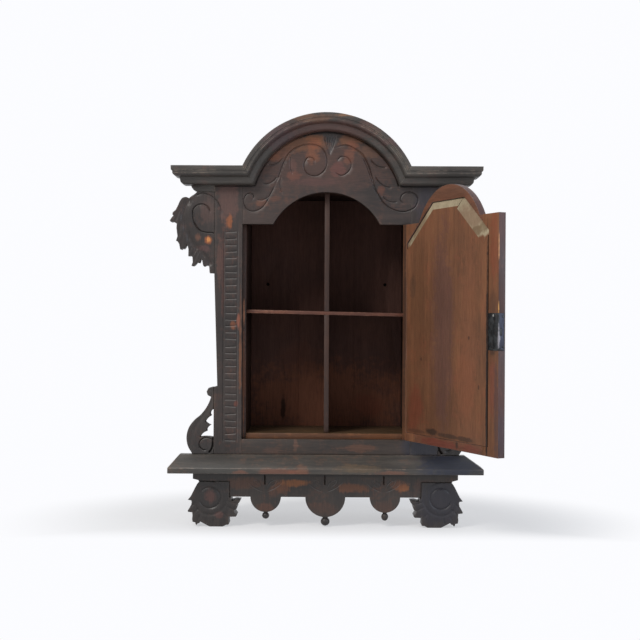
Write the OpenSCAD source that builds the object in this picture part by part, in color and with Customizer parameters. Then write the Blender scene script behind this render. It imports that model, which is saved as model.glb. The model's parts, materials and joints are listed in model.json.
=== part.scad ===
// Carved hanging cabinet with an arched door, an arched cornice and a base on two scroll feet.
// Millimetres. X runs to the viewer's right, Y from the front into the wall, Z up.
// The origin is midway between the two wall-screw holes, on the wall.

/* [Case] */
// Clear width between the two sides
inside_w = 322; // [300:1:344]
// Clear height from the bottom board to the ceiling
inside_h = 484; // [460:1:520]
// Depth behind the face frame, to the wall
case_d = 175; // [150:1:200]
// Thickness of the sides
side_thk = 16; // [13:0.5:18]
// Thickness of the bottom board
bottom_thk = 16; // [12:0.5:20]
// Thickness of the top board
top_thk = 12.5; // [11:0.5:16]
// Thickness of the upright back boards
back_thk = 10; // [7:0.5:13]
// Thickness of the shelf
shelf_thk = 7; // [5:0.5:9]
// How far the hand-fitted shelf drops from its left end to its right end
shelf_drop = 6; // [0:0.5:8]
// Thickness of the upright partition
partition_thk = 10; // [8:0.5:12]
// How far the partition stands to the right of the middle
partition_shift = 1; // [0:0.5:3]
// Set-back of the shelf and the partition behind the face frame
shelf_setback = 10; // [6:0.5:16]
// Depth of the housings that hold the shelf's ends
housing = 4; // [2:0.5:6]

/* [Face frame] */
// Thickness of the face frame
frame_thk = 15; // [13:0.5:18]
// Width of each stile
stile_w = 56; // [52:0.5:64]
// Height of the bottom rail
rail_h = 30.5; // [26:0.5:40]
// How far each side shows past its stile, as a door stop
stop_w = 7.5; // [5:0.5:10]
// How far the bottom board shows above the rail, as a door stop
sill_h = 11; // [8:0.5:14]
// Width of the doorway's arch where it leaves the shoulders
arch_w = 214; // [196:1:236]
// Rise of the doorway's arch above the shoulders
arch_rise = 64.5; // [54:0.5:76]
// How far the waist of each stile is drawn in
waist = 7; // [4:0.5:10]
// Width of the notched band on each stile
notch_w = 28; // [22:0.5:34]
// Distance from one notch to the next
notch_pitch = 13.6; // [11:0.2:18]
// Depth of each notch
notch_depth = 2; // [1:0.25:3]
// Height of each notch's mouth
notch_h = 6; // [4:0.25:8]
// Distance from the doorway to the notched band
band_inset = 9; // [6:0.5:12]
// Distance from the ledge to the lowest notch
band_foot = 27.5; // [20:0.5:36]
// Distance from the uppermost notch to the arch's shoulder
band_head = 12; // [8:0.5:24]

/* [Cornice] */
// Height of the straight moulding
cornice_h = 35.5; // [30:0.5:40]
// Height of the crown's moulding, measured towards the arch's centre
crown_h = 33; // [28:0.5:38]
// Projection of the moulding's top edge
cornice_out = 39; // [32:0.5:46]
// Rise of the crown above the straight cornice
crown_rise = 105.5; // [92:0.5:118]
// How far inside the stiles the crown meets the straight cornice
crown_inset = 2; // [0:0.5:4]
// How far the cornice's bed runs out past each stile
wing_w = 44.5; // [40:0.5:50]
// How far the rounded lower part of each cornice block stands out past the bed
block_lip = 2.5; // [1:0.5:6]
// Radius of the rounded lower edge of each cornice block
block_round = 11; // [7:0.5:12]
// Overhang of the top board past the case's sides
top_lip = 8; // [4:0.5:14]
// Size of the glue blocks behind the crown
glue_block = 30; // [22:1:40]

/* [Carved pieces] */
// Width of each ear, from the stile to the tip of its leaves
ear_w = 89.6; // [80:0.5:98]
// Height of each ear
ear_h = 163.5; // [150:0.5:176]
// Thickness of the ears
ear_thk = 20; // [17:0.5:23]
// How far the carved pieces stand in front of the face frame
carving_proud = 2; // [1:0.5:4]
// Radius of the round volute on each ear
ear_eye_r = 17.5; // [14:0.5:19]
// Radius of the round eye in each scroll's foot
scroll_eye_r = 12.5; // [10:0.5:14]
// Radius of the round eye in each foot's volute
foot_eye_r = 20; // [16:0.5:22]
// Relief of the carved faces above their ground
relief = 3; // [1.5:0.5:4]
// Width of each scroll bracket
scroll_w = 54; // [48:0.5:60]
// Height of each scroll bracket
scroll_h = 134.4; // [122:0.2:146]
// Thickness of the scroll brackets
scroll_thk = 20; // [17:0.5:23]

/* [Base] */
// Height of the carved feet
foot_h = 90; // [84:0.5:98]
// Width of each foot from its joint with the apron to its outer leaves
foot_w = 83.1; // [76:0.1:88]
// Depth of the feet from front to back
foot_d = 40; // [34:1:50]
// Distance from the middle to the joint between apron and foot
foot_joint = 192; // [188:0.5:200]
// Height of the apron's ends above the feet
horn_h = 19; // [16:0.5:24]
// Distance from the middle to the apron's ends
horn_x = 265.5; // [262:0.5:275]
// Thickness of the apron
apron_thk = 16; // [14:0.5:20]
// Radius of the middle lobe
middle_lobe_r = 40; // [36:0.5:42]
// Radius of the two outer lobes
outer_lobe_r = 30.5; // [27:0.5:33]
// Distance from the middle to the outer lobes
outer_lobe_x = 119.5; // [112:0.5:124]
// Radius of the middle turned drop
middle_drop_r = 9; // [7.5:0.25:9.5]
// Radius of the two outer turned drops
outer_drop_r = 7.2; // [6:0.2:8]
// Clearance between the middle drop and the floor
drop_clear = 1.5; // [1:0.5:4]
// Height of the ledge
ledge_h = 35.5; // [30:0.5:42]
// Height of the upright edge below the ledge's slopes
ledge_edge = 11; // [7:0.5:15]
// Overhang of the ledge past the apron's ends
ledge_lip = 47.5; // [40:0.5:56]
// Overhang of the ledge in front of the face frame
ledge_out = 30; // [24:0.5:38]
// Distance from the face frame to the top of the front slope
ledge_flat = 4; // [2:0.5:8]
// Width of the slope at the left end
left_slope = 21; // [15:0.5:26]
// Width of the slope at the right end
right_slope = 35; // [25:0.5:36]
// Thickness of the side aprons behind the feet
side_apron_thk = 16; // [12:0.5:20]
// How far the side aprons stand in from the apron's ends
side_apron_inset = 25.5; // [18:0.5:32]
// Thickness of the base board behind the ledge
base_thk = 20; // [16:0.5:24]

/* [Door] */
// Angle at which the door stands open
door_open = 116; // [0:1:165]
// Clearance around the door
door_gap = 1.5; // [1:0.25:2.5]
// Clearance between the closed door and the stops behind it
stop_gap = 1; // [0.5:0.25:1.5]
// Width of the door's stiles
door_stile_w = 50; // [46:0.5:54]
// Height of the door's bottom rail
door_rail_h = 51.5; // [46:0.5:60]
// Width of the canted corners of the door's sight opening
cant_w = 62; // [50:0.5:70]
// Height of the canted corners of the door's sight opening
cant_h = 60; // [48:0.5:70]
// Thickness of the panel's flat back
panel_thk = 7; // [5:0.5:8]
// Height of the raised field on the panel's front
field_h = 4; // [2:0.5:5]
// Width of the slope around the raised field
field_slope = 22; // [14:1:30]
// Clearance between the panel and the rebate on the hinge side
panel_fit = 0.5; // [0.3:0.1:1]
// Shrinkage gap between the panel and the rebate on the lock side
panel_shrink = 2; // [1:0.25:3]

/* [Hardware] */
// Radius of the hinge pins
pin_r = 1.5; // [1.2:0.1:1.8]
// Radius of the hinge knuckles
knuckle_r = 3; // [2.6:0.1:3.2]
// Height of each hinge
hinge_h = 50; // [44:1:60]
// Distance from the door's lower end to the middle of the lower hinge
hinge_inset = 64; // [50:1:90]
// Thickness of the hinge leaves
leaf_thk = 1.2; // [1:0.1:1.4]
// Height of the bolt's middle above the door's bottom edge
bolt_rise = 219.5; // [200:0.5:240]
// Height of the bolt
bolt_h = 12; // [9:0.5:14]
// Thickness of the bolt
bolt_thk = 5; // [4:0.25:5.5]
// Travel of the bolt
bolt_travel = 9; // [7:0.5:11]
// Width of the lock plate
lock_w = 32; // [28:0.5:36]
// Height of the lock plate
lock_h = 65; // [56:0.5:74]
// Distance between the two wall screws
screw_span = 252; // [240:1:262]
// Height of the wall screws above the floor line of the feet
screw_height = 490; // [470:1:510]
// Radius of the wall-screw holes
screw_r = 3.5; // [2.5:0.25:4.5]
// Distance from the inside's floor and ceiling to the outer nails of the back
nail_margin = 30; // [20:1:45]

/* [Hidden] */
$fn = 64;

eps = 0.01;
far = 1000;
back_boards = 3;
left = -1;
right = 1;

// Heights, from the floor up
z_floor = -screw_height;
z_foot_top = z_floor + foot_h;
z_ledge = z_foot_top + horn_h;
z_ledge_top = z_ledge + ledge_h;
z_rail_top = z_ledge_top + rail_h;
z_bottom = z_rail_top + sill_h;
z_ceiling = z_bottom + inside_h;
z_top = z_ceiling + top_thk;
z_cornice_top = z_top + cornice_h;
z_shoulder = z_ceiling - arch_rise;
z_skirt = z_floor + drop_clear + 2*middle_drop_r + middle_lobe_r;
z_ear_foot = z_ceiling - ear_h;
z_scroll_top = z_ledge_top + scroll_h;
z_shelf = z_bottom + inside_h/2;

// Depths, from the front to the wall
y_case = -case_d;
y_front = y_case - frame_thk;
y_back = -back_thk;
y_carving = y_front - carving_proud;
y_shelf = y_case + shelf_setback;
y_apron_back = y_front + apron_thk;

// Half widths
side_x = inside_w/2;
case_x = side_x + side_thk;
door_x = side_x + stop_w;
stile_x = door_x + stile_w;
bed_x = stile_x + wing_w;
side_apron_x = horn_x - side_apron_inset;
shelf_angle = atan(shelf_drop/inside_w);

// Circle through the ends of a chord at a given rise
function chord_r(width, rise) = (width*width/4 + rise*rise)/(2*rise);
arch_r = chord_r(arch_w, arch_rise);
z_arch = z_ceiling - arch_r;
crown_w = 2*(door_x - crown_inset);
crown_r = chord_r(crown_w, crown_rise);
z_crown = z_cornice_top + crown_rise - crown_r;

// Door, in its closed place
door_thk = frame_thk - stop_gap;
leaf_x = door_x - door_gap;
y_door_back = y_front + door_thk;
y_rebate = y_door_back - panel_thk;
z_door = z_rail_top + door_gap;
z_door_shoulder = z_shoulder - door_gap;
door_arch_r = arch_r - door_gap;
sight_x = leaf_x - door_stile_w;
z_sight = z_door + door_rail_h;
sight_gap = 1;
z_sight_top = z_door_shoulder + sight_gap;
panel_hinge_edge = 15;
panel_lock_edge = 33;
panel_foot = 17;
panel_head = 29;
hinge_cant = [95, 73];
lock_cant = [81, 65];

// Hinges and lock
pin_x = door_x - door_gap/2;
pin_y = y_front - knuckle_r - 0.3;
pin_fit = 0.06;
z_lower_hinge = z_door + hinge_inset;
z_upper_hinge = z_door_shoulder - hinge_inset;
z_bolt = z_door + bolt_rise;
lock_plate = 1.5;
lock_wall = 1.2;
lock_room = 0.3;
lock_d = 9;
bolt_fit = 0.3;
bolt_len = 27;
y_bolt = y_door_back - lock_plate - 1 - bolt_thk/2;
keyhole_r = 2.6;
keyhole_drop = 8;
keyhole_slot_w = 2.4;
keyhole_slot_h = 8;
lock_box_end = 10;
lock_box_side = 8;
key_x = -leaf_x + 17;

ebony = [0.25, 0.21, 0.19];
ebony_worn = [0.34, 0.22, 0.17];
inner_wood = [0.22, 0.13, 0.10];
door_wood = [0.47, 0.30, 0.21];
iron = [0.24, 0.24, 0.24];

// Outlines are lists of [x, z, bulge]. The bulge is that of the edge that starts at the point:
// 0 is straight, 1 is a half circle, and a positive one turns to the left.
function turned(v, a) = [v.x*cos(a) - v.y*sin(a), v.x*sin(a) + v.y*cos(a)];
function arc_to(a, b, bulge, steps) =
  bulge == 0 ? [b] :
  let (half = (b - a)/2,
       centre = a + half + [-half.y, half.x]*(1 - bulge*bulge)/(2*bulge),
       sweep = 4*atan(bulge))
  [for (k = [1:steps]) centre + turned(a - centre, sweep*k/steps)];
function outline(v, scale = [1, 1], steps = 4) =
  [for (k = [0:len(v) - 1])
    let (a = v[k], b = v[(k + 1) % len(v)])
    each arc_to([a.x*scale.x, a.y*scale.y], [b.x*scale.x, b.y*scale.y], a[2], steps)];

// Carved outlines for the right side, measured from the stile or the apron's joint.
// Each is drawn at the size in its last line and scaled to the size in use.
ear_points = [
  [0, -163.5, 0], [9.2, -163.1, 0], [10.3, -150.1, 0], [14.3, -147.5, 0], [20.3, -150.1, 0.1],
  [22.7, -147.1, 0], [24.3, -137.5, 0], [26.7, -134.8, 0], [27.9, -140.2, 0], [29.3, -143.2, 0],
  [34.3, -142.2, 0], [38.3, -147.2, 0], [42.3, -149.6, 0], [45.8, -148.6, 0], [43.3, -141.2, 0],
  [43.9, -131.2, 0], [46, -129, 0], [52.2, -129.3, 0], [52, -115.3, 0], [53.5, -109.3, 0],
  [55.5, -106.5, 0], [57.5, -111.3, 0], [60.4, -115.3, 0], [64, -114.2, 0], [65.4, -116.4, 0],
  [68.6, -115.6, 0], [70.5, -105.4, 0], [73.5, -100.4, 0], [76.9, -98.4, 0], [74.2, -89.4, 0],
  [76.2, -73.4, 0], [75.7, -62.8, 0], [78.1, -63.1, 0], [81.7, -60.5, 0], [86.7, -61.1, 0.2],
  [89.6, -57.9, 0], [86.3, -52.5, 0], [82.4, -47.9, 0], [84.6, -45.9, 0], [83.8, -41.5, 0],
  [77.8, -36.5, 0], [72.5, -25.5, 0], [69.9, -19.4, 0], [65.9, -13.4, 0.2], [55.9, -11, 0],
  [51.3, -13, 0], [46.5, -9, 0], [41, -5.7, 0], [34.5, 0, 0], [0, 0, 0]
];
ear_drawn = [89.6, 163.5];
scroll_points = [
  [0, 0, 0], [41.9, 0, 0.41], [38, 68.7, -0.17], [5.2, 114.5, 1], [3.2, 134.4, 0], [0, 134.4, 0],
  [0, 90, -0.3], [6.5, 81.5, -0.3], [4, 77.3, -0.15], [16.2, 65.3, -0.2], [5.4, 58.3, -0.15],
  [13.3, 49.9, -0.2], [12.6, 46.4, -0.2], [26.6, 34.4, 0.1], [0, 33.8, 0]
];
scroll_drawn = [54, 134.4];
foot_points = [
  [0, 59, 0], [-2.6, 57.6, 0], [-4.5, 50.5, 0], [-12, 53, 0], [-22, 52.3, 0.2], [-19, 47.5, 0],
  [-14, 42.6, 0], [-15.8, 39.5, 0], [-14.5, 35.2, 0], [-9.4, 32.5, 0], [-10.2, 29.5, 0],
  [-15, 22.5, 0.2], [-12.5, 19.8, 0], [-2, 19.5, 0], [1, 21, 0], [1.6, 12, 0], [1, 4.4, 0.2],
  [6, 3.6, 0], [13, 0, 0], [39, 0, 0], [44, 2.2, 0], [49.1, 5, 0], [57.8, 9.6, 0], [60.1, 6.4, 0],
  [63.1, 5.9, 0], [65.1, 2.9, 0], [67.1, 3.9, 0], [68.1, 7.9, 0], [73.2, 8.9, 0], [74.2, 14, 0],
  [73.6, 22, 0], [74.2, 28, 0], [82, 28.8, 0.2], [83.1, 31.3, 0], [79.3, 37.9, 0], [76.3, 42.9, 0],
  [75.3, 48.9, 0], [76.4, 52, 0], [83.1, 53, 0], [78.4, 57.9, 0], [72.4, 69.9, 0], [68.5, 77.9, 0],
  [64.5, 85, 0], [60.5, 90, 0], [0, 90, 0]
];
foot_drawn = [83.1, 90];

// Lays a flat shape out in the front view, from y_near to y_far
module front_board(y_near, y_far) {
  translate([0, y_far, 0]) rotate([90, 0, 0]) linear_extrude(y_far - y_near) children();
}

// Lays a flat shape out in the side view, from x_low to x_high
module side_board(x_low, x_high) {
  translate([x_low, 0, 0]) rotate([90, 0, 90]) linear_extrude(x_high - x_low) children();
}

module block(low, high) {
  translate(low) cube(high - low);
}

module rectangle(low, high) {
  translate(low) square(high - low);
}

module on_side(side) {
  if (side == left) mirror([1, 0, 0]) children();
  else children();
}

module bore_y(x, z, r) {
  translate([x, far/2, z]) rotate([90, 0, 0]) cylinder(h = far, r = r);
}

// Case
module shelf_blank(fit = 0) {
  translate([0, 0, z_shelf]) rotate([0, shelf_angle, 0])
    block([-side_x - housing - fit, y_shelf - fit, -shelf_thk/2 - fit],
          [side_x + housing + fit, y_back, shelf_thk/2 + fit]);
}

module partition_blank(fit = 0) {
  x = partition_shift;
  block([x - partition_thk/2 - fit, y_shelf, z_bottom],
        [x + partition_thk/2 + fit, y_back + fit, z_ceiling]);
}

module case_side(side) {
  color(inner_wood) difference() {
    on_side(side) block([side_x, y_case, z_ledge_top], [case_x, y_back, z_ceiling]);
    shelf_blank(fit = 0.1);
  }
}
module left_side() { case_side(left); }
module right_side() { case_side(right); }

module bottom_board() {
  color(inner_wood)
    block([-side_x, y_case, z_bottom - bottom_thk], [side_x, y_back, z_bottom]);
}

module top_board() {
  color(inner_wood) block([-case_x - top_lip, y_case, z_ceiling], [case_x + top_lip, 0, z_top]);
}

// The back boards cover the rear edges of the sides and the bottom board
module back_board(k) {
  width = 2*case_x/back_boards;
  x = -case_x + k*width;
  color(inner_wood) difference() {
    block([x, y_back, z_ledge_top], [x + width, 0, z_ceiling]);
    for (side = [left, right]) bore_y(side*screw_span/2, 0, screw_r);
  }
}
module back_board_left() { back_board(0); }
module back_board_middle() { back_board(1); }
module back_board_right() { back_board(2); }

nail_r = 1;
nail_head_r = 2.2;
nail_l = 26;
module back_nail(x, z) {
  translate([x, 0, z]) rotate([90, 0, 0]) {
    cylinder(h = 1, r = nail_head_r, $fn = 24);
    cylinder(h = nail_l, r = nail_r, $fn = 16);
  }
}
module back_nails() {
  color(iron) {
    for (side = [left, right], k = [0:3])
      back_nail(side*(case_x - side_thk/2), z_bottom + nail_margin + k*(inside_h - 2*nail_margin)/3);
    for (k = [0:back_boards - 1], t = [-0.25, 0.25])
      back_nail((k + 0.5 + t)*2*case_x/back_boards - case_x, z_bottom - bottom_thk/2);
  }
}

// Shelf and partition are halved over each other, the shelf running through in front
y_halving = (y_shelf + y_back)/2;
module shelf() {
  color(inner_wood) difference() {
    shelf_blank();
    intersection() {
      partition_blank(fit = 0.05);
      block([-far, y_halving, -far], [far, far, far]);
    }
  }
}

module partition() {
  color(inner_wood) difference() {
    partition_blank();
    intersection() {
      shelf_blank(fit = 0.05);
      block([-far, -far, -far], [far, y_halving, far]);
    }
  }
}

// Face frame
module stile_shape() {
  polygon([
    [door_x, z_ledge_top], [stile_x, z_ledge_top], [stile_x, z_scroll_top],
    [stile_x - waist, z_scroll_top + waist/3], [stile_x, z_ear_foot],
    [stile_x, z_cornice_top], [door_x, z_cornice_top]
  ]);
}

mortise_depth = bolt_travel + 2;
mortise_fit = 1;
module bolt_mortise() {
  block([-door_x - mortise_depth, y_bolt - bolt_thk/2 - mortise_fit, z_bolt - bolt_h/2 - mortise_fit],
        [-door_x + 1, y_bolt + bolt_thk/2 + mortise_fit, z_bolt + bolt_h/2 + mortise_fit]);
}

module frame_leaf_recesses() {
  for (z = [z_lower_hinge, z_upper_hinge])
    block([door_x - 1, y_front - 1, z - hinge_h/2],
          [pin_x + 0.25 + leaf_thk, y_leaf_far, z + hinge_h/2]);
}

// Notches cut across the stile, as many as fit between the ledge and the arch's shoulder
x_band = door_x + band_inset;
z_band = z_ledge_top + band_foot;
notch_count = floor((z_shoulder - band_head - z_band)/notch_pitch);
notch_section = [
  [y_front - notch_depth, -notch_h], [y_front + notch_depth, 0], [y_front - notch_depth, notch_h]
];
module notched_band() {
  for (k = [0:notch_count])
    side_board(x_band, x_band + notch_w) translate([0, z_band + k*notch_pitch]) polygon(notch_section);
}

module left_stile() {
  color(ebony) difference() {
    on_side(left) front_board(y_front, y_case) stile_shape();
    on_side(left) notched_band();
    bolt_mortise();
  }
}

module right_stile() {
  color(ebony) difference() {
    front_board(y_front, y_case) stile_shape();
    notched_band();
    frame_leaf_recesses();
  }
}

module bottom_rail() {
  color(ebony) block([-door_x, y_front, z_ledge_top], [door_x, y_case, z_rail_top]);
}

module frieze_board() {
  color(ebony_worn) front_board(y_front, y_case) difference() {
    union() {
      rectangle([-door_x, z_shoulder], [door_x, z_cornice_top]);
      intersection() {
        translate([0, z_crown]) circle(crown_r, $fn = 128);
        rectangle([-crown_w/2, z_cornice_top - eps], [crown_w/2, far]);
      }
    }
    intersection() {
      translate([0, z_arch]) circle(arch_r, $fn = 128);
      rectangle([-arch_w/2, z_shoulder - 1], [arch_w/2, z_ceiling + 1]);
    }
  }
}

// Cornice: [projection, height below the top edge]
cornice_points = [
  [0, -35.5, 0], [12.5, -35.5, 0.3], [21.5, -30, 0], [22.5, -24.5, -0.3], [27, -20.5, 0.3], [36, -14.5, 0],
  [36, -10.5, 0], [38.5, -8.5, 0], [39, 0, 0], [0, 0, 0]
];
cornice_drawn = [39, 35.5];
cornice_section = outline(cornice_points, [cornice_out/cornice_drawn.x, cornice_h/cornice_drawn.y]);
crown_section = outline(cornice_points, [cornice_out/cornice_drawn.x, crown_h/cornice_drawn.y]);

// The mitre between crown and straight cornice joins their outer and inner edges
mitre_top = [crown_w/2, z_cornice_top];
mitre_foot = [sqrt(pow(crown_r - crown_h, 2) - pow(z_top - z_crown, 2)), z_top];
mitre_run = 3*(mitre_top - mitre_foot);

module crown_side_of_mitre() {
  foot_r = mitre_foot;
  end_r = mitre_foot + mitre_run;
  polygon([[-foot_r.x, foot_r.y], foot_r, end_r, [0, far], [-end_r.x, end_r.y]]);
}

module cornice_run(side) {
  color(ebony) on_side(side) difference() {
    intersection() {
      translate([0, y_front, z_cornice_top]) rotate([90, 0, 90])
        linear_extrude(bed_x + cornice_out) mirror([1, 0]) polygon(cornice_section);
      front_board(y_front - far, y_front)
        polygon([mitre_foot, mitre_foot + mitre_run, [far, z_cornice_top + 1], [far, z_top]]);
    }
    translate([bed_x, y_front, 0]) rotate([0, 0, 45]) block([0, -far, -far], [far, far, far]);
  }
}
module cornice_left() { cornice_run(left); }
module cornice_right() { cornice_run(right); }

module cornice_return(side) {
  color(ebony) on_side(side) difference() {
    translate([bed_x, y_case, z_cornice_top]) rotate([90, 0, 0])
      linear_extrude(frame_thk + cornice_out) polygon(cornice_section);
    translate([bed_x, y_front, 0]) rotate([0, 0, 45]) block([-far, -far, -far], [0, far, far]);
  }
}
module cornice_return_left() { cornice_return(left); }
module cornice_return_right() { cornice_return(right); }

module cornice_crown() {
  color(ebony) intersection() {
    translate([0, y_front, z_crown]) rotate([90, 0, 0])
      rotate_extrude(angle = 180, $fn = 128) polygon([for (p = crown_section) [crown_r + p.y, p.x]]);
    front_board(y_front - far, y_front + 1) crown_side_of_mitre();
  }
}

// A block beside each stile backs the straight cornice and its return
module cornice_block(side) {
  x_lip = bed_x + block_lip;
  color(ebony) on_side(side) front_board(y_front, y_case) polygon(outline([
    [stile_x, z_ceiling, 0], [x_lip - block_round, z_ceiling, 0.25], [x_lip, z_ceiling + block_round, 0],
    [x_lip, z_top, 0], [bed_x, z_top, 0], [bed_x, z_cornice_top, 0], [stile_x, z_cornice_top, 0]
  ]));
}
module cornice_block_left() { cornice_block(left); }
module cornice_block_right() { cornice_block(right); }

module crown_glue_blocks() {
  color(inner_wood) for (x = [-crown_w/4, 0, crown_w/4])
    side_board(x - glue_block/2, x + glue_block/2)
      polygon([[y_case, z_top], [y_case + glue_block, z_top], [y_case, z_top + 1.5*glue_block]]);
}

// Carved pieces
ear_scale = [ear_w/ear_drawn.x, ear_h/ear_drawn.y];
ear_eye = [27.5*ear_scale.x, -42*ear_scale.y];
// A groove round the eye of a volute, cut from the plane y
module ring_groove(centre, r, y) {
  front_board(y - 1, y + relief) translate(centre) difference() {
    circle(r + relief);
    circle(r);
  }
}

module ear(side) {
  color(ebony) on_side(side) translate([stile_x, 0, z_ceiling]) difference() {
    front_board(y_carving, y_carving + ear_thk) polygon(outline(ear_points, ear_scale));
    ring_groove(ear_eye, ear_eye_r, y_carving);
  }
}
module left_ear() { ear(left); }
module right_ear() { ear(right); }

scroll_scale = [scroll_w/scroll_drawn.x, scroll_h/scroll_drawn.y];
scroll_eye = [17*scroll_scale.x, 17.5*scroll_scale.y];
module scroll(side) {
  color(ebony) on_side(side) translate([stile_x, 0, z_ledge_top]) difference() {
    front_board(y_carving, y_carving + scroll_thk) polygon(outline(scroll_points, scroll_scale));
    ring_groove(scroll_eye, scroll_eye_r, y_carving);
  }
}
module left_scroll() { scroll(left); }
module right_scroll() { scroll(right); }

// Base
module ledge() {
  x_end = horn_x + ledge_lip;
  y_near = y_front - ledge_out;
  color(ebony_worn) intersection() {
    side_board(-far, far) polygon([
      [y_apron_back, z_ledge], [y_near, z_ledge], [y_near, z_ledge + ledge_edge],
      [y_front - ledge_flat, z_ledge_top], [y_apron_back, z_ledge_top]
    ]);
    front_board(-far, far) polygon([
      [-x_end, z_ledge], [x_end, z_ledge], [x_end, z_ledge + ledge_edge],
      [x_end - right_slope, z_ledge_top], [-x_end + left_slope, z_ledge_top],
      [-x_end, z_ledge + ledge_edge]
    ]);
  }
}

// The case stands on the base board, which lies behind the ledge on the side aprons
z_base = z_ledge_top - base_thk;
module base_board() {
  color(inner_wood) block([-side_apron_x, y_apron_back, z_base], [side_apron_x, 0, z_ledge_top]);
}

drop_peg_r = 3;
drop_peg_l = 12;
peg_fit = 0.05;
y_apron_mid = y_front + apron_thk/2;
horn_step = 11.5;
horn_tip = 5;
horn_fall = 3;
module apron() {
  half = [
    [foot_joint, z_skirt], [foot_joint, z_foot_top], [horn_x - horn_step, z_foot_top],
    [horn_x - horn_step, z_foot_top + horn_tip - horn_fall], [horn_x, z_foot_top + horn_tip],
    [horn_x, z_ledge]
  ];
  mirrored = [for (k = [len(half) - 1:-1:0]) [-half[k].x, half[k].y]];
  color(ebony_worn) difference() {
    front_board(y_front, y_apron_back) {
      polygon(concat(half, mirrored));
      translate([0, z_skirt]) circle(middle_lobe_r, $fn = 96);
      for (side = [left, right]) translate([side*outer_lobe_x, z_skirt]) circle(outer_lobe_r, $fn = 96);
    }
    translate([0, y_apron_mid, z_skirt - middle_lobe_r - 1]) cylinder(h = drop_peg_l + 2, r = drop_peg_r);
    for (side = [left, right])
      translate([side*outer_lobe_x, y_apron_mid, z_skirt - outer_lobe_r - 1])
        cylinder(h = drop_peg_l + 2, r = drop_peg_r);
  }
}

foot_scale = [foot_w/foot_drawn.x, foot_h/foot_drawn.y];
foot_eye = [39*foot_scale.x, 57.5*foot_scale.y];
y_foot = y_front - 1.5*carving_proud;
y_foot_back = y_foot + foot_d;
module foot(side) {
  color(ebony) on_side(side) difference() {
    front_board(y_foot, y_foot_back) difference() {
      translate([foot_joint, z_floor]) polygon(outline(foot_points, foot_scale));
      rectangle([0, z_skirt], [foot_joint, far]);
    }
    translate([foot_joint, 0, z_floor]) ring_groove(foot_eye, foot_eye_r, y_foot);
  }
}
module left_foot() { foot(left); }
module right_foot() { foot(right); }

back_foot_d = 48;
module side_apron(side) {
  shape = [
    [y_apron_back, z_foot_top, 0], [y_foot_back, z_foot_top, 0], [y_foot_back, z_skirt, 0],
    [-back_foot_d - 30, z_skirt, -0.35], [-back_foot_d, z_floor, 0], [0, z_floor, 0], [0, z_base, 0],
    [y_apron_back, z_base, 0]
  ];
  color(ebony) on_side(side) side_board(side_apron_x - side_apron_thk, side_apron_x)
    polygon(outline(shape));
}
module left_side_apron() { side_apron(left); }
module right_side_apron() { side_apron(right); }

// A turned ball on a short collar, with a peg that fits the hole in its lobe
module drop(x, lobe_r, ball_r, ball_l) {
  z_lobe = z_skirt - lobe_r;
  collar_r = 0.62*ball_r;
  color(ebony) translate([x, y_apron_mid, z_lobe]) {
    translate([0, 0, -ball_l]) rotate_extrude() polygon(concat(
      [[0, 0]],
      [for (a = [-75:15:52]) [ball_r*cos(a), ball_l/2 + ball_l/2*sin(a)]],
      [[collar_r, ball_l], [0, ball_l]]));
    cylinder(h = drop_peg_l, r = drop_peg_r - peg_fit);
  }
}
module left_drop() { drop(-outer_lobe_x, outer_lobe_r, outer_drop_r, 2*outer_drop_r); }
module middle_drop() { drop(0, middle_lobe_r, middle_drop_r, 2*middle_drop_r); }
// The right-hand drop is a longer replacement
module right_drop() { drop(outer_lobe_x, outer_lobe_r, 0.97*outer_drop_r, 2.35*outer_drop_r); }

// Door, modelled closed and swung open about its hinge pins
module swung() {
  translate([pin_x, pin_y, 0]) rotate([0, 0, door_open]) translate([-pin_x, -pin_y, 0]) children();
}

module door_shape() {
  rectangle([-leaf_x, z_door], [leaf_x, z_door_shoulder]);
  intersection() {
    translate([0, z_arch]) circle(door_arch_r, $fn = 128);
    rectangle([-far, z_door_shoulder - eps], [far, far]);
  }
}

// Opening in the door's frame, seen from the front, shrunk by a clearance
function sight_outline(fit = 0) =
  let (x = sight_x - fit, z_high = z_sight_top - fit)
  [[-x, z_sight + fit], [x, z_sight + fit], [x, z_high - cant_h],
   [x - cant_w, z_high], [-x + cant_w, z_high], [-x, z_high - cant_h]];

// The panel's outline, seen from the front, grown by a clearance
function panel_outline(hinge_fit, lock_fit) =
  let (x_hinge = leaf_x - panel_hinge_edge + hinge_fit,
       x_lock = -leaf_x + panel_lock_edge - lock_fit,
       z_low = z_door + panel_foot - hinge_fit,
       z_high = z_arch + door_arch_r - panel_head + hinge_fit)
  [[x_lock, z_low], [x_hinge, z_low], [x_hinge, z_high - hinge_cant.y],
   [x_hinge - hinge_cant.x, z_high], [x_lock + lock_cant.x, z_high], [x_lock, z_high - lock_cant.y]];

module panel_rebate() {
  front_board(y_rebate, y_door_back + 1) polygon(panel_outline(panel_fit, panel_shrink));
}

// A triangular strip along the edge from a to b that bevels the face at y, cutting to one side
module bevel(a, b, width, depth, y, towards) {
  run = b - a;
  angle = atan2(run.y, run.x);
  translate([a.x, y, a.y]) rotate([0, -angle, 0]) rotate([90, 0, 90]) translate([0, 0, -5])
    linear_extrude(norm(run) + 10)
      polygon([[-towards*0.01, -0.01], [-towards*0.01, width], [towards*depth, -0.01]]);
}

y_leaf_far = y_front + 12;
module door_leaf_recesses() {
  for (z = [z_lower_hinge, z_upper_hinge])
    block([pin_x - 0.25 - leaf_thk, y_front - 1, z - hinge_h/2], [leaf_x + 1, y_leaf_far, z + hinge_h/2]);
}

module door_hinge_stile() {
  color(door_wood) swung() difference() {
    block([sight_x, y_front, z_door], [leaf_x, y_door_back, z_door_shoulder]);
    panel_rebate();
    door_leaf_recesses();
  }
}

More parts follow.
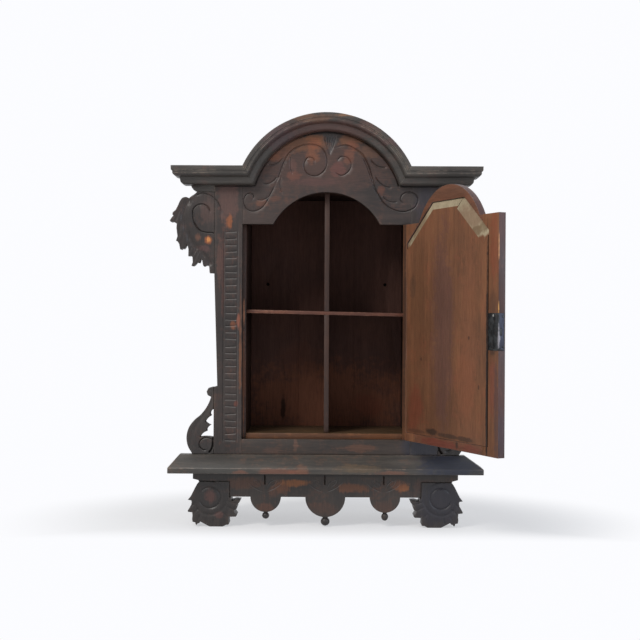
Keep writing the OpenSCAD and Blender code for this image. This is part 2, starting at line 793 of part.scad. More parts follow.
module door_lock_stile() {
  color(door_wood) swung() difference() {
    block([-leaf_x, y_front, z_door], [-sight_x, y_door_back, z_door_shoulder]);
    panel_rebate();
    lock_pocket();
    keyhole();
  }
}

module door_bottom_rail() {
  color(door_wood) swung() difference() {
    block([-sight_x, y_front, z_door], [sight_x, y_door_back, z_sight]);
    panel_rebate();
  }
}

module door_arch_rail() {
  color(door_wood) swung() difference() {
    front_board(y_front, y_door_back) intersection() {
      door_shape();
      rectangle([-sight_x, z_sight_top - cant_h], [sight_x, far]);
    }
    front_board(y_front - 1, y_door_back + 1) polygon(sight_outline());
    panel_rebate();
  }
}

// The panel lies in the rebate from behind; its field is raised in front, its head bevelled behind
head_bevels = [[13, 3], [14, 3], [28, 4]];
field_step = 0.8;
hand_planing = 0.1;
module door_panel() {
  shape = panel_outline(0, 0);
  field = sight_outline(panel_fit);
  y_field = y_rebate - field_h;
  color(door_wood) swung() {
    difference() {
      front_board(y_rebate, y_door_back) polygon(shape);
      for (k = [0:2])
        bevel(shape[2 + k], shape[3 + k], head_bevels[k].x, head_bevels[k].y, y_door_back, -1);
    }
    difference() {
      front_board(y_field, y_rebate + panel_thk/4) polygon(field);
      for (k = [0:len(field) - 1]) {
        slope_h = field_h - field_step - (k % 2)*hand_planing;
        bevel(field[k], field[(k + 1) % len(field)], field_slope, slope_h, y_field, 1);
      }
    }
  }
}

// Hinges: the frame's leaf has the end knuckles, the door's leaf the middle one
knuckle_gap = 0.3;
screw_zs = [-0.32, 0.32];
screw_shank_r = 1.1;
screw_head_r = 2.2;
hinge_screw_l = 13;
y_screws = y_front + 7;
module knuckle(z_low, z_high) {
  translate([pin_x, pin_y, z_low]) cylinder(h = z_high - z_low, r = knuckle_r);
}

module pin_bore() {
  translate([pin_x, pin_y, -far]) cylinder(h = 2*far, r = pin_r + pin_fit, $fn = 48);
}

// One leaf with its knuckles, between the heights in each band
module hinge_leaf(z, bands, x_low) {
  color(iron) difference() {
    union() {
      block([x_low, y_front + 0.2, z - hinge_h/2], [x_low + leaf_thk, y_leaf_far, z + hinge_h/2]);
      for (band = bands) {
        knuckle(z + band[0]*hinge_h, z + band[1]*hinge_h);
        block([x_low, pin_y, z + band[0]*hinge_h], [x_low + leaf_thk, y_front + 1, z + band[1]*hinge_h]);
      }
    }
    pin_bore();
    for (t = screw_zs) leaf_screw(x_low, z + t*hinge_h, 0.1);
  }
}

// Countersunk screw through a leaf: the head lies in the face at the gap between door and frame
module leaf_screw(x_low, z, fit = 0) {
  outwards = x_low > pin_x ? 1 : -1;
  x_face = outwards > 0 ? x_low : x_low + leaf_thk;
  translate([x_face, y_screws, z]) rotate([0, outwards*90, 0]) {
    translate([0, 0, -eps])
      cylinder(h = leaf_thk, r1 = screw_head_r + fit, r2 = screw_shank_r + fit, $fn = 24);
    cylinder(h = hinge_screw_l, r = screw_shank_r + fit, $fn = 24);
  }
}

gap_share = knuckle_gap/hinge_h/2;
frame_bands = [[-0.5, -1/6 - gap_share], [1/6 + gap_share, 0.5]];
door_bands = [[-1/6 + gap_share, 1/6 - gap_share]];
frame_leaf_x = pin_x + 0.25;
door_leaf_x = pin_x - 0.25 - leaf_thk;
module upper_hinge_frame_leaf() { hinge_leaf(z_upper_hinge, frame_bands, frame_leaf_x); }
module lower_hinge_frame_leaf() { hinge_leaf(z_lower_hinge, frame_bands, frame_leaf_x); }
module upper_hinge_door_leaf() { swung() hinge_leaf(z_upper_hinge, door_bands, door_leaf_x); }
module lower_hinge_door_leaf() { swung() hinge_leaf(z_lower_hinge, door_bands, door_leaf_x); }

module hinge_pin(z) {
  tip = 1.2;
  color(iron) translate([pin_x, pin_y, z]) {
    translate([0, 0, -hinge_h/2 - tip]) cylinder(h = hinge_h + 2*tip, r = pin_r, $fn = 48);
    for (end = [-hinge_h/2 - tip, hinge_h/2]) translate([0, 0, end]) cylinder(h = tip, r = 0.8*knuckle_r);
  }
}
module upper_hinge_pin() { hinge_pin(z_upper_hinge); }
module lower_hinge_pin() { hinge_pin(z_lower_hinge); }

module hinge_frame_screws() {
  color(iron) for (z = [z_lower_hinge, z_upper_hinge], t = screw_zs)
    leaf_screw(frame_leaf_x, z + t*hinge_h);
}
module hinge_door_screws() {
  color(iron) swung() for (z = [z_lower_hinge, z_upper_hinge], t = screw_zs)
    leaf_screw(door_leaf_x, z + t*hinge_h);
}

// Lock, let into the lock stile from behind
module lock_pocket() {
  x = -leaf_x;
  y_far = y_door_back + 1;
  z_low = z_bolt - lock_h/2 - lock_room;
  z_high = z_bolt + lock_h/2 + lock_room;
  block([x - 1, y_door_back - lock_d - lock_room, z_low], [x + lock_w + lock_room, y_far, z_high]);
  block([x - 1, y_front + 2 - lock_room, z_low], [x + lock_plate + lock_room, y_far, z_high]);
}

module keyhole() {
  bore_z = z_bolt - keyhole_drop;
  front_board(y_front - 1, y_door_back - lock_d) {
    translate([key_x, bore_z]) circle(keyhole_r, $fn = 32);
    rectangle([key_x - keyhole_slot_w/2, bore_z - keyhole_slot_h], [key_x + keyhole_slot_w/2, bore_z]);
  }
}

nail_x = -leaf_x + lock_w/2;
nail_end = 4;
selvedge_end = 6;
nail_spots = [[nail_x, z_bolt + lock_h/2 - nail_end], [nail_x, z_bolt - lock_h/2 + nail_end]];
selvedge_spots = [z_bolt - lock_h/2 + selvedge_end, z_bolt + lock_h/2 - selvedge_end];
y_selvedge = y_front + 4.5;
module lock_case() {
  x = -leaf_x;
  z_low = z_bolt - lock_h/2;
  z_high = z_bolt + lock_h/2;
  y_in = y_door_back - lock_d;
  color(iron) swung() difference() {
    union() {
      block([x, y_door_back - lock_plate, z_low], [x + lock_w, y_door_back, z_high]);
      block([x, y_front + 2, z_low], [x + lock_plate, y_door_back, z_high]);
      for (z = [z_low + lock_box_end, z_high - lock_box_end - lock_wall])
        block([x, y_in, z], [x + lock_w - lock_box_side, y_door_back, z + lock_wall]);
      translate([key_x, y_door_back, z_bolt - keyhole_drop]) rotate([90, 0, 0])
        cylinder(h = lock_d, r = 1.2, $fn = 24);
    }
    block([x - 1, y_bolt - bolt_thk/2 - bolt_fit, z_bolt - bolt_h/2 - bolt_fit],
          [x + lock_plate + 1, y_bolt + bolt_thk/2 + bolt_fit, z_bolt + bolt_h/2 + bolt_fit]);
    for (spot = nail_spots) bore_y(spot.x, spot.y, nail_r + 0.2);
    for (z = selvedge_spots) translate([x - 1, y_selvedge, z]) rotate([0, 90, 0])
      cylinder(h = lock_plate + 2, r = nail_r + 0.2, $fn = 24);
  }
}

module lock_bolt() {
  x = -leaf_x + 0.1;
  color(iron) swung() difference() {
    block([x, y_bolt - bolt_thk/2, z_bolt - bolt_h/2],
          [x + bolt_len, y_bolt + bolt_thk/2, z_bolt + bolt_h/2]);
    translate([key_x + 2, y_bolt, z_bolt - bolt_h/2 - 1]) rotate([90, 0, 0])
      cylinder(h = 2*bolt_thk, r = 4, center = true, $fn = 32);
  }
}

// A bowed strip that rests its middle on the bolt
module lock_spring() {
  z_rest = z_bolt + bolt_h/2 + bolt_fit;
  bow = z_bolt + lock_h/2 - lock_box_end - lock_wall - z_rest;
  span = lock_w - 1.5*lock_box_side;
  strip = 0.6;
  x = -leaf_x + 3;
  r = chord_r(span, bow - strip);
  color(iron) swung() translate([x + span/2, 0, z_rest + r])
    front_board(y_bolt - bolt_thk/2, y_bolt + bolt_thk/2) intersection() {
      difference() {
        circle(r, $fn = 96);
        circle(r - strip, $fn = 96);
      }
      rectangle([-span/2, -far], [span/2, 0]);
    }
}

// One nail holds the plate, the lower hole is empty; two nails hold the edge
module lock_nails() {
  color("silver") swung() {
    translate([nail_spots[0].x, y_door_back + 0.8, nail_spots[0].y]) rotate([90, 0, 0]) {
      cylinder(h = 0.8, r = nail_head_r, $fn = 24);
      cylinder(h = lock_d + 3, r = nail_r, $fn = 16);
    }
    for (z = selvedge_spots) translate([-leaf_x - 0.6, y_selvedge, z]) rotate([0, 90, 0]) {
      cylinder(h = 0.6, r = nail_head_r - 0.4, $fn = 24);
      cylinder(h = 12, r = nail_r, $fn = 16);
    }
  }
}

left_side();
right_side();
bottom_board();
top_board();
back_board_left();
back_board_middle();
back_board_right();
back_nails();
shelf();
partition();
left_stile();
right_stile();
bottom_rail();
frieze_board();
cornice_left();
cornice_right();
cornice_crown();
cornice_return_left();
cornice_return_right();
cornice_block_left();
cornice_block_right();
crown_glue_blocks();
left_ear();
right_ear();
left_scroll();
right_scroll();
ledge();
base_board();
apron();
left_foot();
right_foot();
left_side_apron();
right_side_apron();
left_drop();
middle_drop();
right_drop();
door_hinge_stile();
door_lock_stile();
door_bottom_rail();
door_arch_rail();
door_panel();
upper_hinge_frame_leaf();
upper_hinge_door_leaf();
upper_hinge_pin();
lower_hinge_frame_leaf();
lower_hinge_door_leaf();
lower_hinge_pin();
hinge_frame_screws();
hinge_door_screws();
lock_case();
lock_bolt();
lock_spring();
lock_nails();
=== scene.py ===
"""Looks of a carved hanging cabinet: ebonised oak with worn patches, an open arched door, iron lock.

Lengths in this script are millimetres, and turned into metres when a mesh is made. Heights called h
are measured from the floor line of the feet.
"""

import json
import math
from collections import namedtuple
from contextlib import contextmanager

import bmesh
import bpy
import numpy as np
from mathutils import Matrix, Vector
from mathutils.geometry import delaunay_2d_cdt


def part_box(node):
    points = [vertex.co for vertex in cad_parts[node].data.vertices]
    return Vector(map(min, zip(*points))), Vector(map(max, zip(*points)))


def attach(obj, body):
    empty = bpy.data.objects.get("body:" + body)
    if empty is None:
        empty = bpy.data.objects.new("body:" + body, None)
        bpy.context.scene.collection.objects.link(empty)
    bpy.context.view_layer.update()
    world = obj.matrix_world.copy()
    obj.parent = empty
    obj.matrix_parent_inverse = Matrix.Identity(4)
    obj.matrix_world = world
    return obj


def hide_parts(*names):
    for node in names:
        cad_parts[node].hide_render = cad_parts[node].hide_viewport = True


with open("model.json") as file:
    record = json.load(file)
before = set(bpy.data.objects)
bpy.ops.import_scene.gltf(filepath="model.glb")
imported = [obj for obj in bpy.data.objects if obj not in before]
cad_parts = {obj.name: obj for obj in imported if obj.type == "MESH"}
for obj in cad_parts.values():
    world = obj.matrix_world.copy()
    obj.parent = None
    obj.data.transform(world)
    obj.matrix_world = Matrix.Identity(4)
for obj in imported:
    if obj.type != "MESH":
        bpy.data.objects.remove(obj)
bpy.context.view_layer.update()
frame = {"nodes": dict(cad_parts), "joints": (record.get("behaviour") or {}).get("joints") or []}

MM = 0.001
LEFT = -1
RIGHT = 1
SIDES = ((LEFT, "left"), (RIGHT, "right"))


def corners(node):
    """The lowest and highest corner of a CAD node, in millimetres."""
    low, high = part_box(node)
    return np.array(low) / MM, np.array(high) / MM


# Main sizes, read from the frame
STILE_LOW, STILE_HIGH = corners("left_stile")
Y_FRONT = STILE_LOW[1]
Y_CASE = STILE_HIGH[1]
Z_FLOOR = corners("left_foot")[0][2]
Z_CORNICE_TOP = STILE_HIGH[2]
Z_TOP = corners("top_board")[1][2]
PIN = np.array(next(j for j in frame["joints"] if j["name"] == "door_hinge")["pos_m"]) / MM
DOOR_ANGLE = math.radians(116)


# Lines and outlines in the front view, as arrays of [x, z]
ARC_POINTS = 49


def spline(points, steps=6):
    """A smooth line through the points."""
    p = np.array(points, float)
    p = np.vstack([2 * p[0] - p[1], p, 2 * p[-1] - p[-2]])
    out = []
    for k in range(1, len(p) - 2):
        a, b, c, d = p[k - 1], p[k], p[k + 1], p[k + 2]
        for t in np.arange(steps) / steps:
            out.append(0.5 * (2 * b + (c - a) * t + (2 * a - 5 * b + 4 * c - d) * t**2
                              + (3 * b - a - 3 * c + d) * t**3))
    out.append(p[-2])
    return np.array(out)


def circle_line(centre, radius, start, sweep, end_radius=None):
    """An arc, or a spiral where end_radius differs, from start through sweep degrees."""
    turn = np.radians(start + np.linspace(0, sweep, ARC_POINTS))
    r = np.linspace(radius, radius if end_radius is None else end_radius, ARC_POINTS)
    return np.array(centre) + np.column_stack([r * np.cos(turn), r * np.sin(turn)])


def area(loop):
    """The loop's area, positive where it runs counterclockwise."""
    x, z = loop.T
    return 0.5 * np.sum(x * np.roll(z, -1) - np.roll(x, -1) * z)


def front_outline(node):
    """The outline of the largest face at a CAD node's front, counterclockwise in the front view."""
    mesh = frame["nodes"][node].data
    co = np.array([v.co for v in mesh.vertices]) / MM
    near = co[:, 1].min()
    keys = [(round(c[0], 2), round(c[2], 2)) for c in co]
    edges = set()
    for face in mesh.polygons:
        if any(co[v][1] > near + 0.01 for v in face.vertices):
            continue
        ring = [keys[v] for v in face.vertices]
        for a, b in zip(ring, ring[1:] + ring[:1]):
            if (b, a) in edges:
                edges.remove((b, a))
            elif a != b:
                edges.add((a, b))
    after = dict(edges)
    loops = []
    while after:
        start = next(iter(after))
        loop = [start]
        while loop[-1] in after:
            step = after.pop(loop[-1])
            if step == start:
                break
            loop.append(step)
        loops.append(np.array(loop))
    largest = max(loops, key=lambda loop: abs(area(loop)))
    return largest if area(largest) > 0 else largest[::-1]


def smoothed(loop):
    """The loop with curves drawn through its shallow corners, and its sharp corners kept."""
    shallow = 28
    longest = 30
    steps = 4
    count = len(loop)
    run = np.roll(loop, -1, axis=0) - loop
    length = np.hypot(*run.T)
    way = run / length[:, None]
    cosine = np.clip((way * np.roll(way, 1, axis=0)).sum(1), -1, 1)
    soft = np.degrees(np.arccos(cosine)) < shallow
    out = []
    for k in range(count):
        a, b, c, d = (loop[(k + j) % count] for j in (-1, 0, 1, 2))
        out.append(b)
        if length[k] > longest or not (soft[k] or soft[(k + 1) % count]):
            continue
        a = a if soft[k] else 2 * b - c
        d = d if soft[(k + 1) % count] else 2 * c - b
        out += list(spline([a, b, c, d], steps)[steps + 1:2 * steps])
    return np.array(out)


def resampled(loop, step):
    """The loop with points added so that no edge is longer than step."""
    out = []
    for a, b in zip(loop, np.roll(loop, -1, axis=0)):
        count = max(1, int(math.ceil(np.linalg.norm(b - a) / step)))
        out += [a + (b - a) * k / count for k in range(count)]
    return np.array(out)


# How many points are measured at a time, to keep the arrays small
BATCH = 4000


def distance(points, line, closed=False):
    """Each point's distance to the line, and where along the line its nearest point lies, 0 to 1."""
    start = line
    end = np.roll(line, -1, axis=0)
    if not closed:
        start, end = start[:-1], end[:-1]
    run = end - start
    length2 = np.maximum((run**2).sum(1), 1e-12)
    best = np.empty(len(points))
    along = np.empty(len(points))
    for low in range(0, len(points), BATCH):
        p = points[low:low + BATCH, None, :] - start[None]
        t = np.clip((p * run).sum(2) / length2, 0, 1)
        gap = np.sqrt(((p - t[..., None] * run) ** 2).sum(2))
        k = gap.argmin(1)
        rows = np.arange(len(k))
        best[low:low + BATCH] = gap[rows, k]
        along[low:low + BATCH] = (k + t[rows, k]) / len(start)
    return best, along


def inside(points, loop):
    """Whether each point lies inside the loop."""
    x, z = points.T
    odd = np.zeros(len(points), bool)
    for (ax, az), (bx, bz) in zip(loop, np.roll(loop, -1, axis=0)):
        if az == bz:
            continue
        crosses = (az > z) != (bz > z)
        odd ^= crosses & (x < (bx - ax) * (z - az) / (bz - az) + ax)
    return odd


def ripple(points, seed, wave=60.0):
    """Gentle unevenness between -1 and 1, as a hand plane leaves it."""
    draw = np.random.default_rng(seed)
    total = np.zeros(len(points))
    for _ in range(5):
        direction = draw.normal(size=points.shape[1])
        direction /= np.linalg.norm(direction)
        length = wave * draw.uniform(0.5, 1.6)
        total += np.sin(points @ direction * 2 * math.pi / length + draw.uniform(0, 6.3))
    return total / 5


# A carved line: its points, half its width, its depth, how soft its sides are, and how much of
# its length runs out at each end
Cut = namedtuple("Cut", "line half depth soft fade")


def vee(line, half, depth, fade=0.06):
    """A sharp cut of a veiner."""
    return Cut(np.asarray(line, float), half, depth, False, fade)


def valley(line, half, depth, fade=0.1):
    """A soft hollow of a gouge."""
    return Cut(np.asarray(line, float), half, depth, True, fade)


def mirrored(cuts, side):
    """The cuts, drawn for positive x, on the side where they go."""
    return [c._replace(line=c.line * [side, 1]) for c in cuts]


def raised(points):
    """Points given as [x, h] turned into [x, z]."""
    return np.array(points, float) + [0, Z_FLOOR]


def drawn(points):
    """A smooth line through points given as [x, h]."""
    return raised(spline(points))


# The way to the main light in the front view; walls of carved lines that face it get a painted highlight,
# and walls that face away a painted shade
LIGHT_WAY = np.array([-0.5, 0.87])
# What share of its depth a cut has at its very ends
END_DEPTH = 0.15


def carve(points, cuts):
    """Depth of the carving at each point, and the share of painted shade on walls that face away from the
    light and of painted highlight on walls that face it.
    """
    total = np.zeros(len(points))
    sharp = np.zeros(len(points))
    shady = np.zeros(len(points))
    lit = np.zeros(len(points))
    for cut in cuts:
        low = cut.line.min(0) - cut.half
        high = cut.line.max(0) + cut.half
        near = ((points > low) & (points < high)).all(1)
        if not near.any():
            continue
        gap, along = distance(points[near], cut.line)
        t = np.clip(1 - gap / cut.half, 0, 1)
        ends = np.clip(np.minimum(along, 1 - along) / cut.fade, END_DEPTH, 1) if cut.fade else 1
        if cut.soft:
            total[near] += cut.depth * t * t * (3 - 2 * t) * ends
            continue
        sharp[near] = np.maximum(sharp[near], cut.depth * t * ends)
        share = along * (len(cut.line) - 1)
        k = np.minimum(share.astype(int), len(cut.line) - 2)
        foot = cut.line[k] + (share - k)[:, None] * (cut.line[k + 1] - cut.line[k])
        facing = (foot - points[near]) @ LIGHT_WAY / np.maximum(gap, 0.3)
        wall = 4 * t * (1 - t) * ends
        lit[near] = np.maximum(lit[near], wall * np.clip(facing, 0, 1))
        shady[near] = np.maximum(shady[near], wall * np.clip(-facing, 0, 1))
    return total + sharp, shady, lit


SOFT_STEP = 2.4
SHARP_STEP = 1.3


def cut_points(cuts):
    """Points along the cuts, so that the mesh follows them."""
    out = []
    for cut in cuts:
        step = SOFT_STEP if cut.soft else SHARP_STEP
        run = np.diff(cut.line, axis=0)
        lengths = np.hypot(*run.T)
        along = np.concatenate([[0], np.cumsum(lengths)])
        count = max(2, int(along[-1] / step))
        s = np.linspace(0, along[-1], count)
        line = np.column_stack([np.interp(s, along, cut.line[:, 0]), np.interp(s, along, cut.line[:, 1])])
        tangent = np.gradient(line, axis=0)
        tangent /= np.maximum(np.hypot(*tangent.T), 1e-9)[:, None]
        normal = np.column_stack([-tangent[:, 1], tangent[:, 0]])
        shares = (-1, -0.5, 0, 0.5, 1) if cut.soft else (-1.05, -0.5, 0, 0.5, 1.05)
        out += [line + normal * cut.half * share for share in shares]
    return np.vstack(out)


def thinned(points, pitch):
    """At most one point in each square of the pitch."""
    cells = np.round(points / pitch).astype(int)
    return points[np.unique(cells, axis=0, return_index=True)[1]]


def triangulated(points, edges, loop):
    """Triangles of the points that lie inside the loop, which is a set of given edges."""
    found = delaunay_2d_cdt([Vector(p) for p in points], edges, [], 0, 1e-7)
    verts = np.array([v[:] for v in found[0]])
    faces = np.array(found[2])
    middles = verts[faces].mean(1)
    return verts, faces[inside(middles, loop)]


@contextmanager
def editing(mesh):
    """The mesh opened as a bmesh, and written back at the end."""
    bm = bmesh.new()
    bm.from_mesh(mesh)
    yield bm
    bm.to_mesh(mesh)
    bm.free()


def round_edges(bm, angle, width):
    """Edges with a sharper angle, in degrees, are rounded, and their new faces marked as edge."""
    layer = bm.faces.layers.float.new("edge")
    sharp = [e for e in bm.edges if len(e.link_faces) == 2 and e.calc_face_angle() > math.radians(angle)]
    rounded = bmesh.ops.bevel(bm, geom=sharp, offset=width * MM, offset_type="OFFSET", segments=2,
                              profile=0.5, affect="EDGES", clamp_overlap=True)
    for face in rounded["faces"]:
        face[layer] = 1


def shade_smooth(mesh, angle):
    """The mesh is shaded smooth but for edges with a sharper angle, in degrees."""
    mesh.polygons.foreach_set("use_smooth", [True] * len(mesh.polygons))
    mesh.set_sharp_from_angle(angle=math.radians(angle))


def linked(name, mesh):
    """A new object of the scene with the mesh."""
    obj = bpy.data.objects.new(name, mesh)
    bpy.context.scene.collection.objects.link(obj)
    return obj


def new_object(name, verts, faces, smooth=40, attributes=None):
    """A mesh object from millimetre points, its outward normals made consistent."""
    mesh = bpy.data.meshes.new(name)
    mesh.from_pydata((np.asarray(verts) * MM).tolist(), [], [list(map(int, f)) for f in faces])
    for key, values in (attributes or {}).items():
        mark = mesh.attributes.new(key, "FLOAT", "POINT")
        mark.data.foreach_set("value", np.asarray(values, np.float32))
    with editing(mesh) as bm:
        bmesh.ops.recalc_face_normals(bm, faces=bm.faces)
    shade_smooth(mesh, smooth)
    return linked(name, mesh)


# A carved board's mesh: where the two rows of points along its rounded edge lie, as shares of the
# radius, its edges' longest step, how far apart its points are, and the grid's step between rows
LIP_ROWS = (0.35, 1.0)
BORDER_STEP = 3.0
POINTS_APART = 0.8
GRID_RISE = 0.87
# Its surface: how uneven it is, what the cuts leave of it, how far its edges' wear reaches, and the
# wear of its back
UNEVEN = 0.25
THINNEST = 1
WEAR_REACH = 3.5
BACK_WEAR = 0.6


def inner_points(border, cuts, edge_r, pitch):
    """Points inside the border: the rows along it, those of the carved lines, and a grid between."""
    ahead = np.roll(border, -1, axis=0) - border
    behind = border - np.roll(border, 1, axis=0)
    inward = np.column_stack([-(ahead + behind)[:, 1], (ahead + behind)[:, 0]])
    inward /= np.maximum(np.hypot(*inward.T), 1e-9)[:, None]
    ring = np.vstack([border + inward * edge_r * share for share in LIP_ROWS])
    gap = distance(ring, border, closed=True)[0]
    wanted = np.repeat(LIP_ROWS, len(border)) * edge_r
    ring = ring[(gap > 0.8 * wanted) & inside(ring, border)]

    low, high = border.min(0), border.max(0)
    across = np.arange(low[0], high[0], pitch)
    up = np.arange(low[1], high[1], pitch * GRID_RISE)
    grid = np.array([[x + (k % 2) * pitch / 2, z] for k, z in enumerate(up) for x in across])
    for cut in cuts:
        if not cut.soft:
            near = distance(grid, cut.line)[0] < 1.2 * cut.half
            grid = grid[~near]
    free = thinned(np.vstack([cut_points(cuts), grid]), POINTS_APART)
    gap = distance(free, border, closed=True)[0]
    free = free[(gap > 1.15 * edge_r) & inside(free, border)]
    return np.vstack([ring, free])


def carved_board(node, cuts, material, edge_r, seed, slot="ebonised_wood", pitch=6.0, dome=None,
                 curved=False):
    """A board in a node's place, its front face carved and its front edges rounded."""
    y_near, y_far = (corner[1] for corner in corners(node))
    loop = front_outline(node)
    border = resampled(smoothed(loop) if curved else loop, BORDER_STEP)
    count = len(border)
    points = np.vstack([border, inner_points(border, cuts, edge_r, pitch)])
    edges = [(k, (k + 1) % count) for k in range(count)]
    flat, faces = triangulated(points, edges, border)

    gap = distance(flat, border, closed=True)[0]
    depth, shady, lit = carve(flat, cuts)
    lip = np.clip(edge_r - gap, 0, edge_r)
    depth = depth + edge_r - np.sqrt(edge_r**2 - lip**2) + UNEVEN * (1 + ripple(flat, seed))
    if dome is not None:
        depth = depth + dome(flat)
    depth = np.minimum(depth, (y_far - y_near) - THINNEST)
    front = np.column_stack([flat[:, 0], y_near + depth, flat[:, 1]])

    turns = {}
    for face in faces:
        for a, b in zip(face, np.roll(face, -1)):
            if (b, a) in turns:
                del turns[(b, a)]
            else:
                turns[(a, b)] = True
    rim = sorted({a for edge in turns for a in edge})
    row_of = {a: k for k, a in enumerate(rim)}
    back = np.column_stack([flat[rim][:, 0], np.full(len(rim), y_far), flat[rim][:, 1]])
    walls = [(a, len(front) + row_of[a], len(front) + row_of[b], b) for a, b in turns]
    back_flat, back_faces = triangulated(flat[rim], [(row_of[a], row_of[b]) for a, b in turns], border)
    backs = []
    if len(back_flat) == len(rim):
        backs = [[len(front) + v for v in face[::-1]] for face in back_faces]
    extra = np.zeros(len(back))
    marks = {"shady": np.concatenate([shady, extra]), "lit": np.concatenate([lit, extra]),
             "edge": np.concatenate([np.clip(1 - gap / WEAR_REACH, 0, 1), extra + BACK_WEAR])}
    board = new_object(f"{node}_carved", np.vstack([front, back]), faces.tolist() + walls + backs,
                       attributes=marks)
    place(paint(board, material), "cabinet", slot, node)


MERGE_WITHIN = 2e-6


def softened(node, ending, width):
    """A copy of a CAD node with its sharp edges rounded, named after the node."""
    mesh = frame["nodes"][node].data.copy()
    mesh.name = f"{node}_{ending}"
    mesh.materials.clear()
    with editing(mesh) as bm:
        bmesh.ops.remove_doubles(bm, verts=bm.verts, dist=MERGE_WITHIN)
        bmesh.ops.dissolve_limit(bm, angle_limit=math.radians(1), verts=bm.verts, edges=bm.edges)
        round_edges(bm, 25, width)
    shade_smooth(mesh, 40)
    return linked(f"{node}_{ending}", mesh)


def paint(obj, material):
    obj.data.materials.clear()
    obj.data.materials.append(material)
    return obj


def place(obj, body, slot, *nodes):
    """The piece rides on the body and stands for the nodes; slot is not used."""
    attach(obj, body)
    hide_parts(*nodes)


# Materials
def colour(r, g, b):
    """An sRGB colour, 0 to 255, as linear light."""
    def linear(c):
        c = c / 255
        return c / 12.92 if c <= 0.04045 else ((c + 0.055) / 1.055) ** 2.4
    return linear(r), linear(g), linear(b), 1


BUMP_DEPTH = 0.0006


class Graph:
    """A material's nodes, added and joined in one call each."""

    def __init__(self, name):
        self.material = bpy.data.materials.new(name)
        self.material.use_nodes = True
        self.tree = self.material.node_tree
        self.shader = self.tree.nodes["Principled BSDF"]

    def add(self, kind, inputs=None, **settings):
        node = self.tree.nodes.new(kind)
        for key, value in settings.items():
            setattr(node, key, value)
        for key, value in (inputs or {}).items():
            self.put(node.inputs[key], value)
        return node

    def put(self, socket, value):
        if isinstance(value, bpy.types.NodeSocket):
            self.tree.links.new(value, socket)
        else:
            socket.default_value = value

    def math(self, operation, a, b, c=0.0):
        return self.add("ShaderNodeMath", {0: a, 1: b, 2: c}, operation=operation).outputs[0]

    def mix(self, share, a, b, blend="MIX"):
        inputs = {0: share, 6: a, 7: b}
        return self.add("ShaderNodeMix", inputs, data_type="RGBA", blend_type=blend).outputs[2]

    def noise(self, coords, scale, detail, rough=0.55):
        inputs = {"Vector": coords, "Scale": scale, "Detail": detail, "Roughness": rough}
        return self.add("ShaderNodeTexNoise", inputs).outputs["Fac"]

    def ramp(self, value, low, high, to_low=0.0, to_high=1.0):
        inputs = {"Value": value, "From Min": low, "From Max": high, "To Min": to_low, "To Max": to_high}
        return self.add("ShaderNodeMapRange", inputs, interpolation_type="SMOOTHSTEP").outputs["Result"]

    def mapped(self, coords, **changes):
        return self.add("ShaderNodeMapping", {"Vector": coords, **changes}).outputs[0]

    def length(self, vector):
        return self.add("ShaderNodeVectorMath", {0: vector}, operation="LENGTH").outputs["Value"]

    def coords(self, on_door):
        """Coordinates that stay with the piece: on the door, those of the closed door."""
        coords = self.add("ShaderNodeTexCoord").outputs["Object"]
        if not on_door:
            return coords
        turn = Matrix.Rotation(-DOOR_ANGLE, 3, "Z")
        pin = Vector(PIN * MM)
        return self.mapped(coords, Location=pin - turn @ pin, Rotation=(0, 0, -DOOR_ANGLE))

    def patched(self, base, coords, rub, patches):
        """The base with ragged patches over it."""
        for patch in patches:
            away = self.mapped(coords, Location=[-m / s for m, s in zip(patch.middle, patch.size)],
                               Scale=[1 / (s * MM) for s in patch.size])
            near = self.ramp(self.length(away), *PATCH_FADE)
            lift = self.math("MULTIPLY_ADD", near, PATCH_LIFT, -PATCH_LIFT / 2)
            share = self.ramp(self.math("ADD", rub, lift), *PATCH_OUTLINE, 0.0, patch.strength)
            base = self.mix(share, base, patch.tint)
        return base

    def attribute(self, name):
        return self.add("ShaderNodeAttribute", attribute_name=name).outputs["Fac"]

    def finish(self, base, rough, height, bump=0.35, specular=0.35):
        self.put(self.shader.inputs["Base Color"], base)
        self.put(self.shader.inputs["Roughness"], rough)
        self.shader.inputs["Specular IOR Level"].default_value = specular
        node = self.add("ShaderNodeBump", {"Height": height, "Strength": bump, "Distance": BUMP_DEPTH})
        self.put(self.shader.inputs["Normal"], node.outputs["Normal"])
        return self.material


# A patch of wear, stain, painted shade or painted light: its middle in millimetres, its half sizes, its
# colour and its strength
Patch = namedtuple("Patch", "middle size tint strength")
# It fades between these shares of its half sizes, and lifts the noise that makes its ragged outline
PATCH_FADE = (1.6, 0.2)
PATCH_LIFT = 0.42
PATCH_OUTLINE = (0.42, 0.68)

GRAIN_STRETCH = {"x": (1, 14, 14), "z": (14, 14, 1)}

# Colours from 0 to 255; the last three are the painted shade and the painted highlight on a carved line's
# walls, and rust
EBONY_DARK = (42, 36, 34)
EBONY_LIGHT = (59, 50, 47)
RED_BROWN = (100, 64, 50)
ORANGE = (150, 88, 52)
PALE_EDGE = (116, 104, 92)
# A bluish painted shade, for parts on the right that only the cool light reaches
PAINTED_COOL_SHADE = (48, 50, 64)
DEEP_SHADE = (26, 18, 15)
IN_SHADE = (24, 20, 19)
PAINTED_HIGHLIGHT = (138, 136, 134)
RUST = (70, 48, 36)


